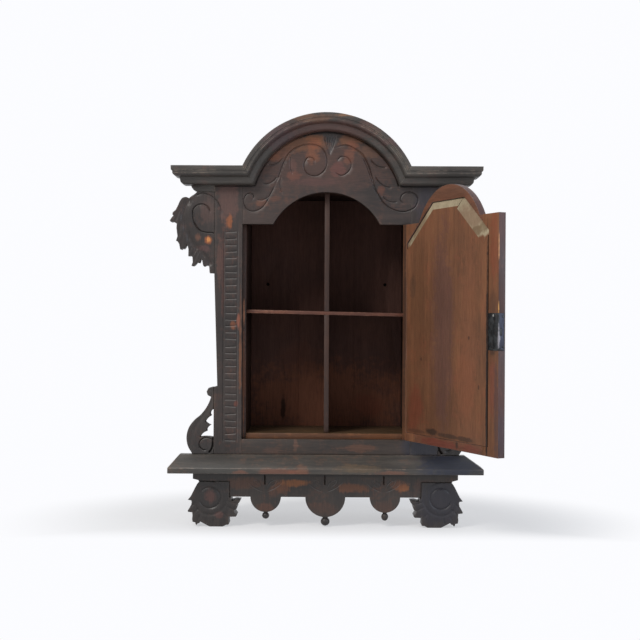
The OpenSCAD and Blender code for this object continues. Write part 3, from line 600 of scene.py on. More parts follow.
def wood(name, dark, light, worn, patches=(), grain="z", wear=0.35, edge_tint=PALE_EDGE, edge_wear=0.5,
         rough=0.46, on_door=False, streak=0.45, specular=0.4):
    """Wood with long fibres, a blotchy finish, wear on its edges, rubbed patches and patches of painted
    shade and light, and painted shade and highlight on the walls of its carved lines.
    """
    dark, light, worn = colour(*dark), colour(*light), colour(*worn)
    g = Graph(name)
    coords = g.coords(on_door)
    along = g.mapped(coords, Scale=GRAIN_STRETCH[grain])
    broad = g.noise(coords, 9.0, 3.0)
    streaks = g.noise(along, 5.5, 6.0, 0.6)
    fibres = g.noise(along, 46.0, 3.0, 0.6)
    fine = g.noise(coords, 240.0, 2.0)
    tone = g.math("ADD", g.math("MULTIPLY", broad, 1 - streak), g.math("MULTIPLY", streaks, streak))
    tone = g.ramp(tone, 0.36, 0.66)
    base = g.mix(tone, dark, light)
    rub = g.math("MULTIPLY_ADD", g.noise(coords, 30.0, 5.0, 0.6), 0.45,
                 g.math("MULTIPLY_ADD", g.noise(coords, 130.0, 3.0), 0.35, g.math("MULTIPLY", fibres, 0.2)))
    base = g.mix(g.ramp(rub, 0.49, 0.66, 0.0, wear), base, worn)
    base = g.patched(base, coords, rub, patches)
    base = g.mix(g.ramp(fibres, 0.35, 0.62, 0.2, 0.0), base, dark, "MULTIPLY")
    if edge_tint is not None:
        rubbed = g.math("MULTIPLY", g.attribute("edge"), g.ramp(rub, 0.47, 0.58, 0.05, edge_wear))
        base = g.mix(rubbed, base, colour(*edge_tint))
    # Painted shade on carved walls that face away from the light, and a painted highlight on those that
    # face it
    base = g.mix(g.math("MULTIPLY", g.attribute("shady"), 0.5), base, colour(*IN_SHADE))
    base = g.mix(g.math("MULTIPLY", g.attribute("lit"), 0.42), base, colour(*PAINTED_HIGHLIGHT))
    height = g.math("ADD", g.math("MULTIPLY", fibres, 0.7), g.math("MULTIPLY", fine, 0.3))
    shine = g.ramp(broad, 0.35, 0.7, rough - 0.06, rough + 0.1)
    return g.finish(base, shine, height, specular=specular)


def metal(name, dark, light, patches=(), rough=0.45, rust=0.4, on_door=False):
    """Forged iron or a bright nail, with a blotchy patina."""
    g = Graph(name)
    coords = g.coords(on_door)
    blotch = g.noise(coords, 90.0, 6.0, 0.6)
    base = g.mix(g.ramp(blotch, 0.4, 0.62), colour(*dark), colour(*light))
    base = g.mix(g.ramp(g.noise(coords, 160.0, 5.0), 0.55, 0.7, 0.0, rust), base, colour(*RUST))
    base = g.patched(base, coords, blotch, patches)
    g.shader.inputs["Metallic"].default_value = 0.75
    return g.finish(base, g.ramp(blotch, 0.3, 0.7, rough - 0.1, rough + 0.15), blotch, bump=0.4)


def front_patches(*rows, y=Y_FRONT, deep=16):
    """Patches on an upright plane, each as (x, h, half width, half height, colour, strength)."""
    return [Patch((x, y, h + Z_FLOOR), (wide, deep, tall), colour(*tint), strength)
            for x, h, wide, tall, tint, strength in rows]


ebony_post = wood("ebonised_post", EBONY_DARK, EBONY_LIGHT, RED_BROWN, front_patches(
    (-196, 655, 24, 60, (92, 66, 60), 0.75),
    (-214, 525, 7, 60, (92, 64, 56), 0.7),
    (-194, 611, 8, 16, ORANGE, 0.75),
    (-187, 405, 7, 10, (134, 78, 50), 0.7),
    (-171.5, 345, 3.5, 80, (122, 76, 50), 0.75),
    (-171.5, 430, 2.5, 60, (104, 68, 50), 0.6),
    (-180, 246, 6, 9, (116, 66, 54), 0.6),
    (-176, 412, 4, 18, (146, 84, 62), 0.75),
    (-207, 500, 4, 110, (92, 60, 52), 0.55),
    # Painted shade on the right stile: the open door's shadow near its foot, and a bluish painted shade
    # higher up
    (196, 155, 40, 40, (50, 50, 58), 0.9),
    (200, 650, 30, 50, PAINTED_COOL_SHADE, 0.35)), wear=0.4, edge_wear=0.2)
ebony_ear = wood("ebonised_ear", EBONY_DARK, EBONY_LIGHT, (90, 64, 56), front_patches(
    (-236, 632, 20, 36, (88, 66, 60), 0.5),
    (-257.5, 578.5, 8, 9, (122, 82, 64), 0.6),
    (-236, 573.5, 9, 10, (150, 88, 54), 0.8),
    (-236, 574, 4.5, 6.5, (206, 136, 78), 0.95),
    (-243, 556, 12, 8, (96, 66, 64), 0.5)), edge_wear=0.15)
ebony_plain = wood("ebonised_plain", (43, 39, 38), (63, 57, 54), (86, 58, 50), front_patches(
    (-231, 60, 15, 15, (94, 62, 56), 0.6),
    (-212, 24, 11, 9, (98, 64, 58), 0.5),
    # Bluish painted shade on the right foot
    (231, 50, 60, 60, (38, 38, 48), 0.7)), wear=0.3, edge_wear=0.12)
ebony_cornice = wood("ebonised_cornice", (54, 50, 47), (78, 73, 68), (98, 70, 62), front_patches(
    (0, 790, 120, 26, (94, 66, 60), 0.75),
    (-30, 812, 60, 9, (112, 82, 64), 0.7),
    (-95, 775, 40, 26, (84, 64, 66), 0.6),
    (76, 813, 12, 4, (178, 122, 92), 0.85),
    (40, 818, 30, 4, (140, 104, 78), 0.7),
    (228, 790, 30, 6, (110, 66, 60), 0.7),
    (150, 765, 60, 10, (88, 62, 60), 0.7),
    # Painted shade, dark and bluish, on the right end of the cornice
    (215, 765, 90, 26, (42, 38, 44), 0.8), y=-215, deep=70),
    grain="x", edge_tint=(140, 130, 116), edge_wear=0.6)
worn_frieze = wood("worn_frieze", (44, 37, 35), (64, 52, 48), (84, 59, 50), front_patches(
    (0, 720, 170, 60, (76, 54, 47), 0.75),
    (-128, 648, 14, 9, (108, 70, 54), 0.6),
    (-104, 656, 16, 7, (104, 68, 54), 0.55),
    (-58, 766, 76, 18, (114, 76, 54), 0.9),
    (-92, 748, 30, 18, (112, 74, 56), 0.8),
    (-30, 742, 16, 18, (122, 76, 54), 0.8),
    (44, 742, 14, 20, (112, 70, 54), 0.75),
    (84, 752, 26, 18, (100, 70, 54), 0.7),
    (-24, 777, 26, 9, (140, 88, 52), 0.6),
    (52, 774, 36, 12, (122, 80, 54), 0.75),
    (-106, 742, 18, 14, (124, 78, 56), 0.75),
    (-26, 766, 16, 14, (136, 80, 54), 0.7),
    (52, 764, 14, 12, (130, 78, 56), 0.65),
    (-68, 722, 10, 16, (104, 70, 62), 0.5),
    (22, 716, 16, 18, (104, 64, 58), 0.65),
    (-66, 702, 18, 12, (112, 68, 54), 0.55),
    (108, 674, 10, 12, (112, 68, 52), 0.5),
    (-20, 690, 60, 10, (92, 62, 58), 0.5)), grain="x", wear=0.75, edge_wear=0.1)
worn_and_shaded_ledge = wood("worn_and_shaded_ledge", (62, 59, 56), (86, 80, 74), (108, 82, 68), front_patches(
    (-215, 120, 60, 14, (70, 68, 65), 0.8),
    (-168, 110, 18, 7, (118, 82, 68), 0.75),
    (-100, 112, 40, 11, (116, 78, 64), 0.75),
    (-52, 112, 26, 9, (130, 82, 64), 0.75),
    (-46, 118, 14, 12, (124, 90, 72), 0.6),
    (66, 120, 60, 10, (112, 92, 70), 0.55),
    (130, 110, 42, 8, (120, 82, 66), 0.7),
    # Painted shadow of the open door on the ledge's right end, bluish
    (245, 118, 74, 46, (46, 49, 62), 0.95),
    (-60, 101, 230, 5, (98, 62, 52), 0.9), y=-225, deep=70),
    grain="x", wear=0.5, edge_tint=(132, 118, 104), edge_wear=0.45, streak=0.6)
worn_and_shaded_apron = wood("worn_and_shaded_apron", (46, 42, 40), (68, 59, 54), (92, 62, 50), front_patches(
    (-165, 86, 50, 15, (86, 60, 48), 0.85),
    (-90, 80, 22, 16, (106, 68, 48), 0.85),
    (-60, 88, 34, 9, (134, 84, 50), 0.9),
    (-104, 70, 12, 14, (94, 62, 48), 0.6),
    (-121, 38, 22, 10, (96, 62, 48), 0.6),
    (-1, 35, 34, 16, (84, 58, 48), 0.5),
    (56, 78, 40, 11, (112, 72, 50), 0.75),
    (117, 40, 24, 14, (84, 58, 48), 0.5),
    (156, 80, 15, 9, (158, 100, 60), 0.9),
    (150, 84, 22, 12, (124, 80, 58), 0.6),
    (200, 84, 30, 14, (82, 58, 50), 0.5),
    # Painted shadow of the ledge along the apron's top
    (0, 103, 300, 4, (44, 40, 38), 0.8)), wear=0.5, edge_wear=0.08, streak=0.35)
worn_and_shaded_rail = wood("worn_and_shaded_rail", (49, 43, 40), (69, 59, 53), (90, 62, 50), front_patches(
    (70, 158, 46, 9, (108, 74, 58), 0.6),
    (-60, 164, 6, 16, (112, 80, 66), 0.6),
    (-110, 152, 20, 8, (92, 66, 56), 0.5),
    # Painted shadow of the open door on the rail's right end, bluish
    (180, 160, 30, 40, (44, 42, 50), 0.9)), grain="x", wear=0.5, edge_wear=0.2)
inner_dark = wood("dark_interior", (50, 36, 31), (68, 49, 41), (76, 48, 38), wear=0.3,
                  edge_tint=(110, 76, 62), edge_wear=0.3, rough=0.62, specular=0.2)
inner_back = wood("dark_back", (80, 56, 50), (96, 68, 60), (90, 60, 50), front_patches(
    # Painted light on the lower back boards, below the shelf's shadow
    (0, 244, 230, 92, (120, 77, 59), 0.9),
    (-92, 226, 6, 34, (44, 30, 25), 0.85),
    (-60, 330, 60, 40, (100, 66, 55), 0.5),
    (90, 230, 40, 30, (120, 70, 54), 0.6), y=-10.0), wear=0.3, edge_tint=None, rough=0.7, specular=0.1)
inner_floor = wood("stained_bottom", (66, 51, 37), (90, 70, 50), (112, 78, 50), grain="x", wear=0.4,
                   edge_tint=(150, 110, 80), rough=0.6, specular=0.2)
rubbed_sill = wood("rubbed_sill", (88, 55, 33), (120, 75, 44), (142, 90, 54), front_patches(
    (-110, 178, 60, 10, (128, 84, 52), 0.6)),
    grain="x", wear=0.5, edge_tint=(150, 112, 84), edge_wear=0.4, rough=0.55)
rubbed_shelf = wood("rubbed_shelf", (90, 54, 42), (118, 72, 54), (144, 96, 72), front_patches(
    (-8, 436, 12, 8, (166, 118, 96), 0.8), y=-150.0),
    grain="x", wear=0.5, edge_tint=(160, 118, 98), rough=0.55)
rubbed_stop = wood("rubbed_stop", (44, 29, 25), (60, 41, 34), (92, 58, 44), front_patches(
    (-165.5, 426, 2.2, 34, (172, 118, 88), 0.9),
    (-165.5, 290, 2.0, 130, (124, 76, 52), 0.8),
    (-160, 300, 14, 70, (92, 58, 42), 0.6), y=-175.0),
    wear=0.5, edge_tint=(110, 76, 60), edge_wear=0.3, rough=0.55)
rubbed_partition = wood("rubbed_partition", (54, 36, 30), (70, 48, 39), (92, 58, 44), wear=0.4,
                        edge_tint=(110, 84, 72), edge_wear=0.3, rough=0.55)
Y_INSIDE = Y_FRONT + 14.0
# Painted shade for the slots between door panel and frame and for the screw holes, lighter near the top on
# the hinge side
painted_shade = wood("painted_shade", DEEP_SHADE, DEEP_SHADE, DEEP_SHADE, front_patches(
    (125, 600, 34, 46, (112, 84, 62), 0.9),
    (90, 640, 30, 24, (96, 72, 54), 0.8), y=Y_INSIDE - 3),
    wear=0.0, edge_tint=None, rough=0.9, specular=0.05, on_door=True)
CHIPS = front_patches(
    (-167.5, 549, 2.0, 30, (206, 152, 108), 1),
    (-167.5, 437, 2.6, 12, (226, 168, 96), 1), y=Y_INSIDE, deep=2.2)
DOOR_WOOD = {"edge_tint": (136, 104, 82), "edge_wear": 0.25, "on_door": True, "streak": 0.6,
             "rough": 0.58, "specular": 0.25}
door_inside = wood("door_inside", (100, 67, 47), (126, 84, 58), (132, 76, 54), front_patches(
    (-152, 300, 16, 60, (116, 66, 52), 0.65),
    (17, 400, 44, 230, (92, 64, 56), 0.75),
    (-74, 390, 34, 210, (124, 80, 56), 0.65),
    (108, 470, 26, 120, (104, 70, 48), 0.6),
    (118, 246, 34, 60, (118, 64, 46), 0.75),
    (-60, 300, 40, 90, (130, 80, 56), 0.5),
    (128, 480, 15, 26, (84, 60, 45), 0.6),
    (-73, 384, 3.5, 4.5, (66, 44, 34), 0.8),
    (-106, 296, 3, 5, (70, 46, 34), 0.8),
    (95, 340, 3, 4, (66, 44, 34), 0.8),
    (52, 203, 30, 7, (56, 40, 31), 0.9),
    (0, 200, 40, 6, (64, 45, 34), 0.85),
    (-60, 199, 34, 6, (62, 44, 34), 0.8),
    (110, 199, 36, 5, (84, 56, 42), 0.7),
    # Painted shade in the slit between panel and lock stile, and on the hinge stile near the hinge
    (-131.8, 330, 3.8, 300, (36, 25, 21), 1),
    (-131.8, 240, 3.6, 80, (36, 25, 21), 1),
    (160, 450, 7, 320, (66, 46, 37), 0.9),
    (-152, 545, 16, 90, (128, 73, 50), 0.8),
    (-150, 445, 18, 30, (92, 63, 47), 0.65),
    (-161, 260, 9, 110, (84, 62, 58), 0.8),
    (-150, 362, 12, 12, (64, 46, 36), 0.8),
    (-60, 640, 60, 22, (116, 72, 52), 0.5), y=Y_INSIDE) + CHIPS, wear=0.45, **DOOR_WOOD)
door_cross = wood("door_inside_cross", (92, 62, 46), (120, 78, 58), (124, 68, 52), front_patches(
    (24, 183, 90, 10, (112, 58, 46), 0.8),
    (-80, 183, 40, 10, (110, 58, 46), 0.7),
    (-35, 186, 6, 8, (56, 42, 34), 0.9),
    (10, 655, 90, 14, (100, 68, 52), 0.6), y=Y_INSIDE),
    grain="x", wear=0.5, **DOOR_WOOD)
door_edge = wood("door_edge", (62, 42, 40), (88, 60, 56), (112, 74, 62), CHIPS + front_patches(
    # Painted cool light, bluish, on the lower free edge
    (-168, 220, 10, 50, (76, 64, 72), 0.6), y=Y_INSIDE - 7),
    # Its pale edges are wear, and on the arch rim also a painted highlight
    wear=0.5, edge_tint=(150, 138, 134), on_door=True, rough=0.42)
door_outside = wood("door_outside", EBONY_DARK, EBONY_LIGHT, RED_BROWN, wear=0.5, edge_wear=0.4,
                    on_door=True)
pale_bevel = wood("pale_bevel", (148, 134, 110), (172, 158, 132), (128, 112, 90), front_patches(
    (-75, 604, 46, 34, (136, 113, 92), 0.85),
    (105, 600, 46, 34, (130, 110, 86), 0.8),
    (-96, 577, 16, 10, (112, 92, 70), 0.7),
    (-116, 584, 14, 12, (118, 100, 76), 0.7),
    (-124, 553, 22, 14, (116, 77, 56), 1),
    (-133, 562, 9, 11, (116, 77, 56), 1),
    (-112, 560, 10, 8, (116, 77, 56), 1),
    (157, 550, 20, 22, (112, 76, 54), 1), y=Y_INSIDE),
    wear=0.6, edge_tint=None, on_door=True, rough=0.7, specular=0.15)
iron = metal("black_iron", (46, 47, 49), (70, 72, 74))
lock_iron = metal("lock_iron", (48, 49, 50), (66, 68, 69), front_patches(
    # Painted cool light, bluish, on the lock at the free edge
    (-168, 392, 10, 60, (62, 64, 78), 0.8), y=Y_INSIDE - 7, deep=7) + front_patches(
    (-167.5, 388, 3, 24, (150, 146, 150), 0.85),
    # Painted shade in the empty nail hole
    (-147.4, 369.5, 2.2, 2.2, (20, 18, 18), 1), y=Y_INSIDE, deep=4), on_door=True)
bright = metal("bright_nail", (150, 150, 146), (205, 205, 200), rough=0.35, rust=0.2)


# Carved lines, drawn as [x, h]
FRIEZE_CUTS = [vee(drawn(points), half, depth) for points, half, depth in (
    ([(-103, 684), (-95, 705), (-88.3, 725.2), (-77.5, 745.9), (-59.2, 760), (-33.2, 765.6),
      (-10.4, 758.1), (-0.5, 738.6), (-2.6, 717), (-18.8, 702.8), (-38.3, 706), (-46, 723.3),
      (-38.5, 738.5), (-26.5, 736.3), (-24.3, 725.5)], 2.3, 2.1),
    ([(-103, 684), (-110.7, 669.4), (-120.3, 650), (-130, 637.8), (-144, 631), (-157, 633),
      (-164, 641), (-166, 653), (-161, 664), (-152, 667), (-146.5, 661), (-149, 653)], 2.2, 2.0),
    ([(-73.1, 741), (-73.1, 721), (-69.7, 705.8)], 1.8, 1.5),
    ([(-92.5, 700), (-93.9, 682), (-89.5, 668)], 1.8, 1.5),
    ([(-88, 738), (-97, 729), (-108, 724), (-118, 725)], 2.0, 1.8),
    ([(-99, 700), (-108, 691), (-118, 686), (-128, 686)], 2.0, 1.8),
    ([(-112, 664), (-120, 657), (-130, 653), (-139, 654)], 1.8, 1.5),
    ([(14.5, 758.2), (39.4, 763.7), (66.6, 749.7), (77.5, 736.8), (86.2, 717.3), (93.4, 692),
      (100.7, 670.3), (119, 643.8), (148.1, 631.3), (172, 637), (181.9, 651.3), (179.4, 663.4),
      (166, 670.5), (152, 666), (147.5, 654), (157.7, 645.2)], 2.4, 2.3),
    ([(20.1, 732.2), (28.7, 740.9), (42, 738), (48.7, 725.8), (43, 711), (28.9, 703), (13.7, 710.5)],
     2.2, 1.9),
    ([(70.9, 741.1), (79.7, 721.7), (87.4, 700), (95.1, 678.4), (106.1, 654.6)], 1.8, 1.5),
    ([(87.2, 736.8), (94.8, 727.1), (105.7, 720.7), (119, 719.7)], 2.2, 2.0),
    ([(96.1, 702.2), (105.9, 689.3), (116.8, 681.7), (129, 679.6)], 2.2, 2.0),
    ([(110.4, 663.3), (119.1, 654.7), (129.9, 650.4), (141, 650.5)], 2.0, 1.8),
)]
KEYSTONE_FOOT = (5.5, 745)
FRIEZE_CUTS += [vee(drawn([(x, 783), (0.62 * x + 0.38 * KEYSTONE_FOOT[0], 764), KEYSTONE_FOOT]),
                    2.2, 1.6, 0.03) for x in (-6.5, -0.5, 5.6, 11.7, 17.5)]

NOTCH_HALF = 1.9
BAND_NEAR = 178.5
BAND_FAR = 203.5
BAND_FOOT = 172.0
BAND_HEAD = 590.0
NOTCH_COUNT = 31


def stile_cuts(side):
    """The notched band with an upright line at each edge, and the ear's volute running onto the stile."""
    draw = np.random.default_rng(7 + side)
    pitch = (BAND_HEAD - BAND_FOOT) / NOTCH_COUNT
    cuts = []
    for k in range(NOTCH_COUNT + 1):
        h = BAND_FOOT + k * pitch + draw.uniform(-1.2, 1.2)
        tilt = draw.uniform(-0.9, 0.9)
        deep = draw.uniform(0.9, 1.5)
        notch = [(BAND_NEAR + 1, h + tilt), (BAND_FAR - 1, h - tilt)]
        cuts.append(vee(raised(notch), NOTCH_HALF, deep, 0.05))
    for x, deep in ((BAND_NEAR - 1.5, 0.7), (BAND_FAR + 1.5, 1.4)):
        upright = [(x, BAND_FOOT - 4), (x + 0.8, 380), (x, BAND_HEAD + 3)]
        cuts.append(vee(drawn(upright), 1.7, deep, 0.01))
    volute = [(232, 661), (224, 655), (216.5, 647), (211.5, 634), (211, 616)]
    cuts.append(vee(drawn(volute), 2.2, 1.8, 0.25))
    return mirrored(cuts, side)


EAR_EYE = (250.7, 627.0)
EAR_EYE_R = 17.5
EAR_EYE_RISE = 0.9


def ear_cuts(side):
    """Volute with its eye, and the acanthus lobes that hang from its rim."""
    ring = circle_line(EAR_EYE, EAR_EYE_R, 180, -190)
    tail = [ring[-1], (267, 614), (263.8, 605), (253.5, 591.8), (240.2, 587.8), (227, 586.8),
            (218.8, 578.7)]
    over = [(262, 662), (250, 666.5), (238, 664), (229, 659.5), (222, 653)]
    rib = [(272, 659), (281, 645), (284.3, 627), (283.2, 605), (278, 584.5), (267.7, 566), (251, 547.9),
           (239, 533.7), (230.5, 520)]
    cuts = [vee(raised(np.vstack([ring, spline(tail)[1:]])), 2.3, 2.3), vee(drawn(over), 2.3, 2.0),
            valley(drawn(rib), 9.5, 3.2, 0.04)]
    lobes = [[(236, 521), (235, 533), (238, 543)], [(249.3, 534), (246, 545), (250, 556)],
             [(269.6, 539), (262, 553), (260, 562)], [(279.5, 562.5), (276, 578), (279, 594)],
             [(300, 579), (293, 598), (289, 622), (284, 640)], [(303.5, 608), (298, 624), (291, 640)],
             [(277, 658.5), (274, 650), (277, 640)]]
    cuts += [valley(drawn(points), 4.2, 1.1, 0.25) for points in lobes]
    veins = [[(244, 521), (243, 533)], [(267, 522), (260, 542), (254, 553)],
             [(276, 544), (270, 562), (270, 575)], [(291, 556), (287, 580), (285, 612)],
             [(299, 572), (292, 592)], [(311, 613), (301, 627), (290, 648)],
             [(287, 653), (292, 634), (291, 612)], [(297, 640), (290, 655)]]
    cuts += [valley(drawn(points), 3.4, 0.7, 0.25) for points in veins]
    return mirrored(cuts, side)


def ear_dome(side):
    """The eye is a low button: the ground round it lies deeper."""
    middle = np.array([side * EAR_EYE[0], EAR_EYE[1] + Z_FLOOR])

    def depth(points):
        r = np.hypot(*(points - middle).T)
        button = np.clip(r / EAR_EYE_R, 0, 1) ** 2 * EAR_EYE_RISE
        return np.where(r < EAR_EYE_R + 1, button, EAR_EYE_RISE)
    return depth


def scroll_cuts(side):
    """A soft hollow along the arm, the lower volute round its eye, and a deep cut beside the stile."""
    arm = [(226.5, 270), (229.5, 250), (238, 232), (251, 215), (261, 198), (266.5, 182), (265.5, 166),
           (258, 153)]
    lower = circle_line((240, 162), 17.0, 150, -255, 9.0)
    beside = [(224.9, 182), (225.0, 165), (227.5, 155), (233, 147)]
    upper = circle_line((231.5, 269), 6.2, 200, -250, 3)
    return mirrored([valley(drawn(arm), 6.5, 1.5), vee(raised(lower), 2.3, 2.3, 0.12),
                     vee(drawn(beside), 3.0, 6.0, 0.02), valley(raised(upper), 3.0, 1.0)], side)


FOOT_EYE = (231.0, 57.5)


def foot_cuts(side):
    """A round boss in soft rings with leaf tips all round it."""
    cuts = [valley(raised(circle_line(FOOT_EYE, 21.0, 20, 340)), 3.4, 1.9, 0.08),
            valley(raised(circle_line(FOOT_EYE, 34.0, 80, 280)), 4.0, 1.4)]
    tips = [[(274, 67), (264, 66)], [(270, 80), (261, 74)], [(275, 37), (265, 42), (258, 52)],
            [(266, 21), (258, 32), (250, 37)], [(255, 12), (249, 24)], [(257, 89), (252, 82)],
            [(176.5, 46), (187, 48), (197, 52)], [(179, 31), (190, 37), (200, 42)], [(176, 55), (188, 57)],
            [(198, 20), (205, 29)], [(222, 4), (223, 18)], [(240, 3), (237, 17)]]
    cuts += [valley(raised(spline(tip) if len(tip) > 2 else tip), 3.0, 1.3, 0.3) for tip in tips]
    return mirrored(cuts, side)


def apron_cuts():
    """An upright stroke over each lobe with leaves that spread from its foot."""
    leaves = [[(4, 78), (8, 86), (15, 92), (24, 94)], [(24, 94), (20, 86), (12, 80)],
              [(3, 70), (14, 74), (26, 81), (36, 90)]]
    cuts = []
    for x, head in ((-121, 104), (-1, 104), (117, 103)):
        cuts.append(vee(raised([(x, head), (x, 84)]), 1.8, 3.0, 0.03))
        for way in (LEFT, RIGHT):
            cuts += [vee(drawn([(x + way * a, b) for a, b in leaf]), 1.9, 0.9, 0.3) for leaf in leaves]
    return cuts


# Moulding: [projection, drop below the top edge, bulge of the edge that starts there]
SECTION = [(0, -35.5, 0), (12.5, -35.5, 0.3), (21.5, -30, 0), (22.5, -24.5, -0.3), (27, -20.5, 0.3),
           (36, -14.5, 0), (36, -10.5, 0), (38.5, -8.5, 0), (39, 0, 0), (0, 0, 0)]
SECTION_DRAWN = np.array([39.0, 35.5])


def bulged(points):
    """The outline with its bulged edges drawn as arcs."""
    steps = 5
    out = []
    for (ax, az, bulge), (bx, bz, _) in zip(points, points[1:] + points[:1]):
        a, b = np.array([ax, az], float), np.array([bx, bz], float)
        out.append(a)
        if bulge:
            half = (b - a) / 2
            centre = a + half + np.array([-half[1], half[0]]) * (1 - bulge**2) / (2 * bulge)
            sweep = 4 * math.atan(bulge)
            for k in range(1, steps):
                c, s = math.cos(sweep * k / steps), math.sin(sweep * k / steps)
                out.append(centre + np.array([[c, -s], [s, c]]) @ (a - centre))
    return np.array(out)


RETURN_LOW, RETURN_HIGH = corners("cornice_return_left")
CROWN_HIGH = corners("cornice_crown")[1]
BED_X = -RETURN_HIGH[0]
CORNICE_OUT = RETURN_HIGH[0] - RETURN_LOW[0]
CORNICE_H = Z_CORNICE_TOP - Z_TOP
PROFILE = bulged(SECTION) * [CORNICE_OUT / SECTION_DRAWN[0], CORNICE_H / SECTION_DRAWN[1]]
CROWN_HALF = CROWN_HIGH[0]
CROWN_RISE = CROWN_HIGH[2] - Z_CORNICE_TOP
CROWN_R = (CROWN_HALF**2 + CROWN_RISE**2) / (2 * CROWN_RISE)
CROWN_H = 33.0
Z_CROWN = CROWN_HIGH[2] - CROWN_R


def crown_x(drop):
    """Where a line of the straight moulding meets the same line of the crown."""
    z = Z_CORNICE_TOP + drop - Z_CROWN
    return math.sqrt((CROWN_R + drop * CROWN_H / CORNICE_H) ** 2 - z**2)


# A dark line under the cornice, along the straight mouldings and the crown
JOINT = 0.6
MITRE_X = crown_x(-CORNICE_H)
MITRE_TURN = math.degrees(math.acos(MITRE_X / (CROWN_R - CROWN_H)))
UNDER = circle_line((0, Z_CROWN), CROWN_R - CROWN_H - JOINT, MITRE_TURN, 180 - 2 * MITRE_TURN)
for side, _ in SIDES:
    FRIEZE_CUTS.append(vee([(side * MITRE_X, Z_TOP - JOINT), (side * BED_X, Z_TOP - JOINT)], 2.4, 2.4, 0))
FRIEZE_CUTS.append(vee(UNDER, 2.4, 2.4, 0))


def between_rings(count, around):
    """The faces between count rings of around points each."""
    return [(k * around + j, k * around + (j + 1) % around, (k + 1) * around + (j + 1) % around,
             (k + 1) * around + j) for k in range(count - 1) for j in range(around)]


MOULDING_UNEVEN = 0.22
MOULDING_WAVE = 90.0
MOULDING_EDGE = 0.5


def swept(name, count, seed, at):
    """The profile led through count rings by at(share, out, drop), closed at both ends, its corners
    lightly rounded and its surface uneven."""
    rings = [[at(t, out, drop) for out, drop in PROFILE] for t in np.linspace(0, 1, count)]
    around = len(PROFILE)
    verts = np.vstack(rings)
    wear = np.random.default_rng(seed).uniform(0.5, 1.0)
    uneven = [ripple(verts, seed + k, MOULDING_WAVE) for k in range(3)]
    uneven[2] = uneven[2] - 1
    verts = verts + MOULDING_UNEVEN * wear * np.column_stack(uneven)
    ends = [tuple(range(around)), tuple((count - 1) * around + j for j in range(around))[::-1]]
    obj = new_object(name, verts, between_rings(count, around) + ends)
    with editing(obj.data) as bm:
        round_edges(bm, 24, MOULDING_EDGE)
    shade_smooth(obj.data, 35)
    return obj


def cornice_run(side, word):
    """The straight moulding between its mitres with the crown and at the corner, and its node."""
    def at(t, out, drop):
        return side * (crown_x(drop) * (1 - t) + (BED_X + out) * t), Y_FRONT - out, Z_CORNICE_TOP + drop
    return swept(f"cornice_{word}_moulding", 25, 50 + side, at), f"cornice_{word}"


def cornice_return(side, word):
    """The moulding along the case's side, and its node."""
    def at(t, out, drop):
        return side * (BED_X + out), (Y_FRONT - out) * (1 - t) + Y_CASE * t, Z_CORNICE_TOP + drop
    return swept(f"cornice_return_{word}_moulding", 21, 60 + side, at), f"cornice_return_{word}"


def cornice_crown():
    """The arched moulding between its two mitres."""
    def at(t, out, drop):
        r = CROWN_R + drop * CROWN_H / CORNICE_H
        start = math.acos(crown_x(drop) / r)
        turn = start + (math.pi - 2 * start) * t
        return r * math.cos(turn), Y_FRONT - out, Z_CROWN + r * math.sin(turn)
    return swept("cornice_crown_moulding", 73, 90, at)


def turned_drop(node):
    """A turned ball with a collar and a peg above, between the node's own limits."""
    low, high = corners(node)
    middle = (low + high) / 2
    peg = 12.0
    ball_r = (high[0] - low[0]) / 2
    ball_h = high[2] - peg - low[2]
    profile = [(0.0, 0.0)]
    profile += [(ball_r * math.cos(a), ball_h * (0.47 + 0.47 * math.sin(a)))
                for a in np.radians(np.arange(-75, 60, 9))]
    profile += [(ball_r * 0.52, ball_h * 0.90), (ball_r * 0.66, ball_h * 0.93), (ball_r * 0.66, ball_h),
                (2.9, ball_h), (2.9, ball_h + peg - 0.4), (2.4, ball_h + peg), (0.0, ball_h + peg)]
    steps = 40
    turns = [2 * math.pi * k / steps for k in range(steps)]
    verts = [[middle[0] + r * math.cos(turn), middle[1] + r * math.sin(turn), low[2] + z]
             for r, z in profile for turn in turns]
    obj = new_object(f"{node}_turned", verts, between_rings(len(profile), steps), 50)
    with editing(obj.data) as bm:
        bmesh.ops.remove_doubles(bm, verts=bm.verts, dist=1e-6)
        bmesh.ops.recalc_face_normals(bm, faces=bm.faces)
    return obj


# Pieces of the carved front
for side, word in SIDES:
    carved_board(f"{word}_stile", stile_cuts(side) + FRIEZE_CUTS, ebony_post, edge_r=0.6, seed=10 + side)
    carved_board(f"{word}_ear", ear_cuts(side), ebony_ear, edge_r=1.2, pitch=5, seed=20 + side,
                 dome=ear_dome(side))
    carved_board(f"{word}_scroll", scroll_cuts(side), ebony_plain, edge_r=1.8, pitch=4, seed=30 + side,
                 curved=True)
    carved_board(f"{word}_foot", foot_cuts(side), ebony_plain, edge_r=0.8, pitch=5, seed=40 + side)
    for moulding in (cornice_run, cornice_return):
        made, node = moulding(side, word)
        place(paint(made, ebony_cornice), "cabinet", "ebonised_wood", node)
carved_board("frieze_board", FRIEZE_CUTS, worn_frieze, slot="worn_wood", edge_r=0.6, pitch=7, seed=70)
carved_board("apron", apron_cuts(), worn_and_shaded_apron, slot="worn_wood", edge_r=0.8, seed=80)
place(paint(cornice_crown(), ebony_cornice), "cabinet", "ebonised_wood", "cornice_crown")
for node in ("left_drop", "middle_drop", "right_drop"):
    place(paint(turned_drop(node), ebony_plain), "cabinet", "ebonised_wood", node)

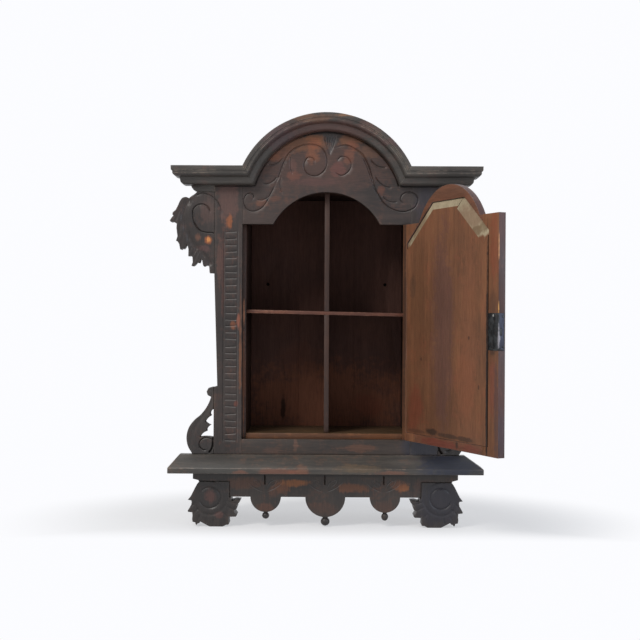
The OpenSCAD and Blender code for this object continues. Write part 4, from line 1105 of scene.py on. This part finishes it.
# Boards with rounded edges: finish, slot, edge radius and nodes
BACK_BOARDS = ("back_board_left", "back_board_middle", "back_board_right")
BOARDS = [
    (inner_dark, "inner_wood", 0.8, ("left_side", "right_side")),
    (inner_floor, "inner_wood", 1.0, ("bottom_board",)),
    (inner_dark, "inner_wood", 1.0, ("top_board",)),
    (inner_back, "inner_wood", 0.6, BACK_BOARDS),
    (inner_dark, "inner_wood", 0.8, ("shelf", "partition")),
    (worn_and_shaded_rail, "worn_wood", 0.8, ("bottom_rail",)),
    (worn_and_shaded_ledge, "worn_wood", 1.2, ("ledge",)),
    (ebony_cornice, "ebonised_wood", 0.8, ("cornice_block_left", "cornice_block_right")),
    (inner_dark, "inner_wood", 0.8, ("base_board",)),
    (inner_dark, "inner_wood", 1.0, ("crown_glue_blocks",)),
    (ebony_plain, "ebonised_wood", 1.2, ("left_side_apron", "right_side_apron")),
]
# Boards with another finish on the faces that look to the room or to the wall
TO_ROOM = -1
TO_WALL = 1
OTHER_FACES = {"left_side": (rubbed_stop, TO_ROOM), "right_side": (rubbed_stop, TO_ROOM),
               "bottom_board": (rubbed_sill, TO_ROOM), "shelf": (rubbed_shelf, TO_ROOM),
               "partition": (rubbed_partition, TO_ROOM)}
OTHER_FACES.update((node, (inner_dark, TO_WALL)) for node in BACK_BOARDS)
for material, slot, width, nodes in BOARDS:
    for node in nodes:
        board = paint(softened(node, "wood", width), material)
        if node in OTHER_FACES:
            finish, way = OTHER_FACES[node]
            board.data.materials.append(finish)
            for face in board.data.polygons:
                face.material_index = int(face.normal.y * way > 0.6)
        place(board, "cabinet", slot, node)

# Door: its inside is plain, its outside and its edges are dark, and the slots between panel and frame get
# painted shade
INTO_CASE = Matrix.Rotation(DOOR_ANGLE, 3, "Z") @ Vector((0, 1, 0))
INSIDE_AT = (Y_INSIDE - PIN[1]) * MM
PLAIN, EDGE, SHADED_SLOT, CANT, OUTSIDE = range(5)
# A cant's least area, and how deep, in metres, softened edges and the slots of painted shade lie
CANT_AREA = 1e-4
EDGE_DEPTH = 0.001
SLOT_DEPTH = 0.0015


def sunk(face):
    """How far a face lies below the door's inner face, in metres."""
    return INSIDE_AT - (face.center - Vector(PIN * MM)).dot(INTO_CASE)


def door_finish(face, on_panel):
    """Which of the door's finishes a face has, by the way it looks, how large it is and how far sunk."""
    lean = face.normal.dot(INTO_CASE)
    if on_panel and 0.9 < lean < 0.999 and (face.area > CANT_AREA or sunk(face) > EDGE_DEPTH):
        return CANT
    if lean < -0.2:
        return OUTSIDE
    # Slot faces get painted shade: the panel's sides, and faces sunk deep in the rebate
    if lean < 0.5:
        return SHADED_SLOT if on_panel else EDGE
    return SHADED_SLOT if lean > 0.9 and sunk(face) > SLOT_DEPTH else PLAIN


for node, material in (("door_hinge_stile", door_inside), ("door_lock_stile", door_inside),
                       ("door_bottom_rail", door_cross), ("door_arch_rail", door_cross),
                       ("door_panel", door_inside)):
    on_panel = node == "door_panel"
    piece = paint(softened(node, "wood", 0.5 if on_panel else 0.8), material)
    for finish in (door_edge, painted_shade, pale_bevel, door_outside):
        piece.data.materials.append(finish)
    for face in piece.data.polygons:
        face.material_index = door_finish(face, on_panel)
    place(piece, "door", "door_wood", node)

# Ironwork: node, body, edge radius and finish
IRONWORK = [("back_nails", "cabinet", 0.2, iron), ("hinge_frame_screws", "cabinet", 0.15, iron),
            ("hinge_door_screws", "door", 0.15, iron), ("lock_case", "door", 0.3, lock_iron),
            ("lock_bolt", "lock_bolt", 0.4, iron), ("lock_spring", "door", 0.1, iron)]
for end in ("upper", "lower"):
    IRONWORK += [(f"{end}_hinge_frame_leaf", "cabinet", 0.2, iron),
                 (f"{end}_hinge_door_leaf", "door", 0.2, iron), (f"{end}_hinge_pin", "cabinet", 0.3, iron)]
for node, body, width, material in IRONWORK:
    place(paint(softened(node, "iron", width), material), body, "iron", node)
nails = paint(softened("lock_nails", "bright", 0.2), iron)
nails.data.materials.append(bright)
for face in nails.data.polygons:
    face.material_index = int(sunk(face) < EDGE_DEPTH)
place(nails, "door", "bright_nail", "lock_nails")


# Camera, as the photograph was taken
CAMERA_AT = (1.8, -2540.5, -68.3)
YAW, PITCH, ROLL = map(math.radians, (0.345, -0.183, 0.299))
LENS = 66.1
SENSOR = 36
forward = Vector((-math.sin(YAW) * math.cos(PITCH), math.cos(YAW) * math.cos(PITCH), math.sin(PITCH)))
level = Vector((math.cos(YAW), math.sin(YAW), 0))
upright = level.cross(forward)
right_way = level * math.cos(ROLL) + upright * math.sin(ROLL)
up_way = upright * math.cos(ROLL) - level * math.sin(ROLL)
camera_data = bpy.data.cameras.new("camera")
camera_data.lens = LENS
camera_data.sensor_width = SENSOR
camera = bpy.data.objects.new("camera", camera_data)
camera.matrix_world = Matrix.Translation(Vector(CAMERA_AT) * MM) @ Matrix(
    (right_way, up_way, -forward)).transposed().to_4x4()
bpy.context.scene.collection.objects.link(camera)
bpy.context.scene.camera = camera


# Floor and studio light
def seen_or_lit(tree, seen, lit, out_socket):
    """Rays that see the surface, also in a reflection or through glass, get one shader, and light
    rays the other."""
    path = tree.nodes.new("ShaderNodeLightPath")
    seeing = path.outputs["Is Camera Ray"]
    for kind in ("Is Glossy Ray", "Is Transmission Ray"):
        either = tree.nodes.new("ShaderNodeMath")
        either.operation = "MAXIMUM"
        tree.links.new(seeing, either.inputs[0])
        tree.links.new(path.outputs[kind], either.inputs[1])
        seeing = either.outputs[0]
    mix = tree.nodes.new("ShaderNodeMixShader")
    for socket, value in zip(mix.inputs, (seeing, lit, seen)):
        tree.links.new(value, socket)
    tree.links.new(mix.outputs[0], out_socket)


BACKDROP = (0.97, 0.975, 1, 1)
SKY = (0.93, 0.96, 1, 1)
SKY_STRENGTH = 0.42

world = bpy.data.worlds.new("studio")
bpy.context.scene.world = world
world.use_nodes = True
tree = world.node_tree
seen = tree.nodes["Background"]
seen.inputs["Color"].default_value = BACKDROP
seen.inputs["Strength"].default_value = 1.0
lit = tree.nodes.new("ShaderNodeBackground")
lit.inputs["Color"].default_value = SKY
lit.inputs["Strength"].default_value = SKY_STRENGTH
seen_or_lit(tree, seen.outputs[0], lit.outputs[0], tree.nodes["World Output"].inputs["Surface"])

FLOOR_HALF = 6000.0
FLOOR_GAP = 0.4
FLOOR_GREY = (0.82, 0.82, 0.82, 1)
SHADOW_REACH = (0.75, 0.55)
SHADOW_FRONT = (-0.19, -0.34)
floor = new_object("floor", [[x * FLOOR_HALF, y * FLOOR_HALF, Z_FLOOR - FLOOR_GAP]
                             for x, y in ((-1, -1), (1, -1), (1, 1), (-1, 1))], [(0, 1, 2, 3)])
# The floor is grey and takes the shadow near the cabinet, and is as white as the backdrop further off
g = Graph("pale_floor")
coords = g.add("ShaderNodeTexCoord").outputs["Object"]
g.shader.inputs["Base Color"].default_value = FLOOR_GREY
g.shader.inputs["Roughness"].default_value = 0.8
around = g.mapped(coords, Scale=(1 / SHADOW_REACH[0], 1 / SHADOW_REACH[1], 0), Location=(0, 0.2, 0))
near = g.add("ShaderNodeSeparateXYZ", {0: coords}).outputs["Y"]
away = g.math("MAXIMUM", g.ramp(g.length(around), 0.5, 0.95, 0.5), g.ramp(near, *SHADOW_FRONT, 0.5))
white = g.add("ShaderNodeEmission", {"Color": BACKDROP, "Strength": 1.0})
shown = g.add("ShaderNodeMixShader", {0: away})
g.tree.links.new(g.shader.outputs[0], shown.inputs[1])
g.tree.links.new(white.outputs[0], shown.inputs[2])
output = g.tree.nodes["Material Output"]
seen_or_lit(g.tree, shown.outputs[0], g.shader.outputs[0], output.inputs["Surface"])
paint(floor, g.material)


# In each of the two screw holes stands a disc of painted shade, where the wall behind would lie in shadow
HOLE_X = 126.0
HOLE_R = 3.9
HOLE_Y = -5.0
for side, _ in SIDES:
    disc = [[side * HOLE_X + HOLE_R * math.cos(a), HOLE_Y, HOLE_R * math.sin(a)]
            for a in np.radians(np.arange(0, 360, 30))]
    dot = paint(new_object(f"shade_disc_in_hole_{side}", disc, [tuple(range(len(disc)))]), painted_shade)


def area_light(name, at, aim, size, power, tint):
    """A rectangular lamp that stands at a place in metres and looks at its aim."""
    data = bpy.data.lights.new(name, "AREA")
    data.shape = "RECTANGLE"
    data.size, data.size_y = size
    data.energy = power
    data.color = tint
    lamp = bpy.data.objects.new(name, data)
    lamp.location = at
    lamp.rotation_euler = (Vector(aim) - Vector(at)).to_track_quat("-Z", "Y").to_euler()
    bpy.context.scene.collection.objects.link(lamp)


area_light("key", (-1.5, -1.95, 1.95), (0, -0.15, 0.0), (1.0, 1.0), 54, (1, 0.97, 0.93))
area_light("fill", (1.9, -1.4, 0.5), (0, -0.15, -0.1), (1.0, 1.4), 14, (0.74, 0.84, 1))

bpy.context.scene.view_settings.view_transform = "Standard"
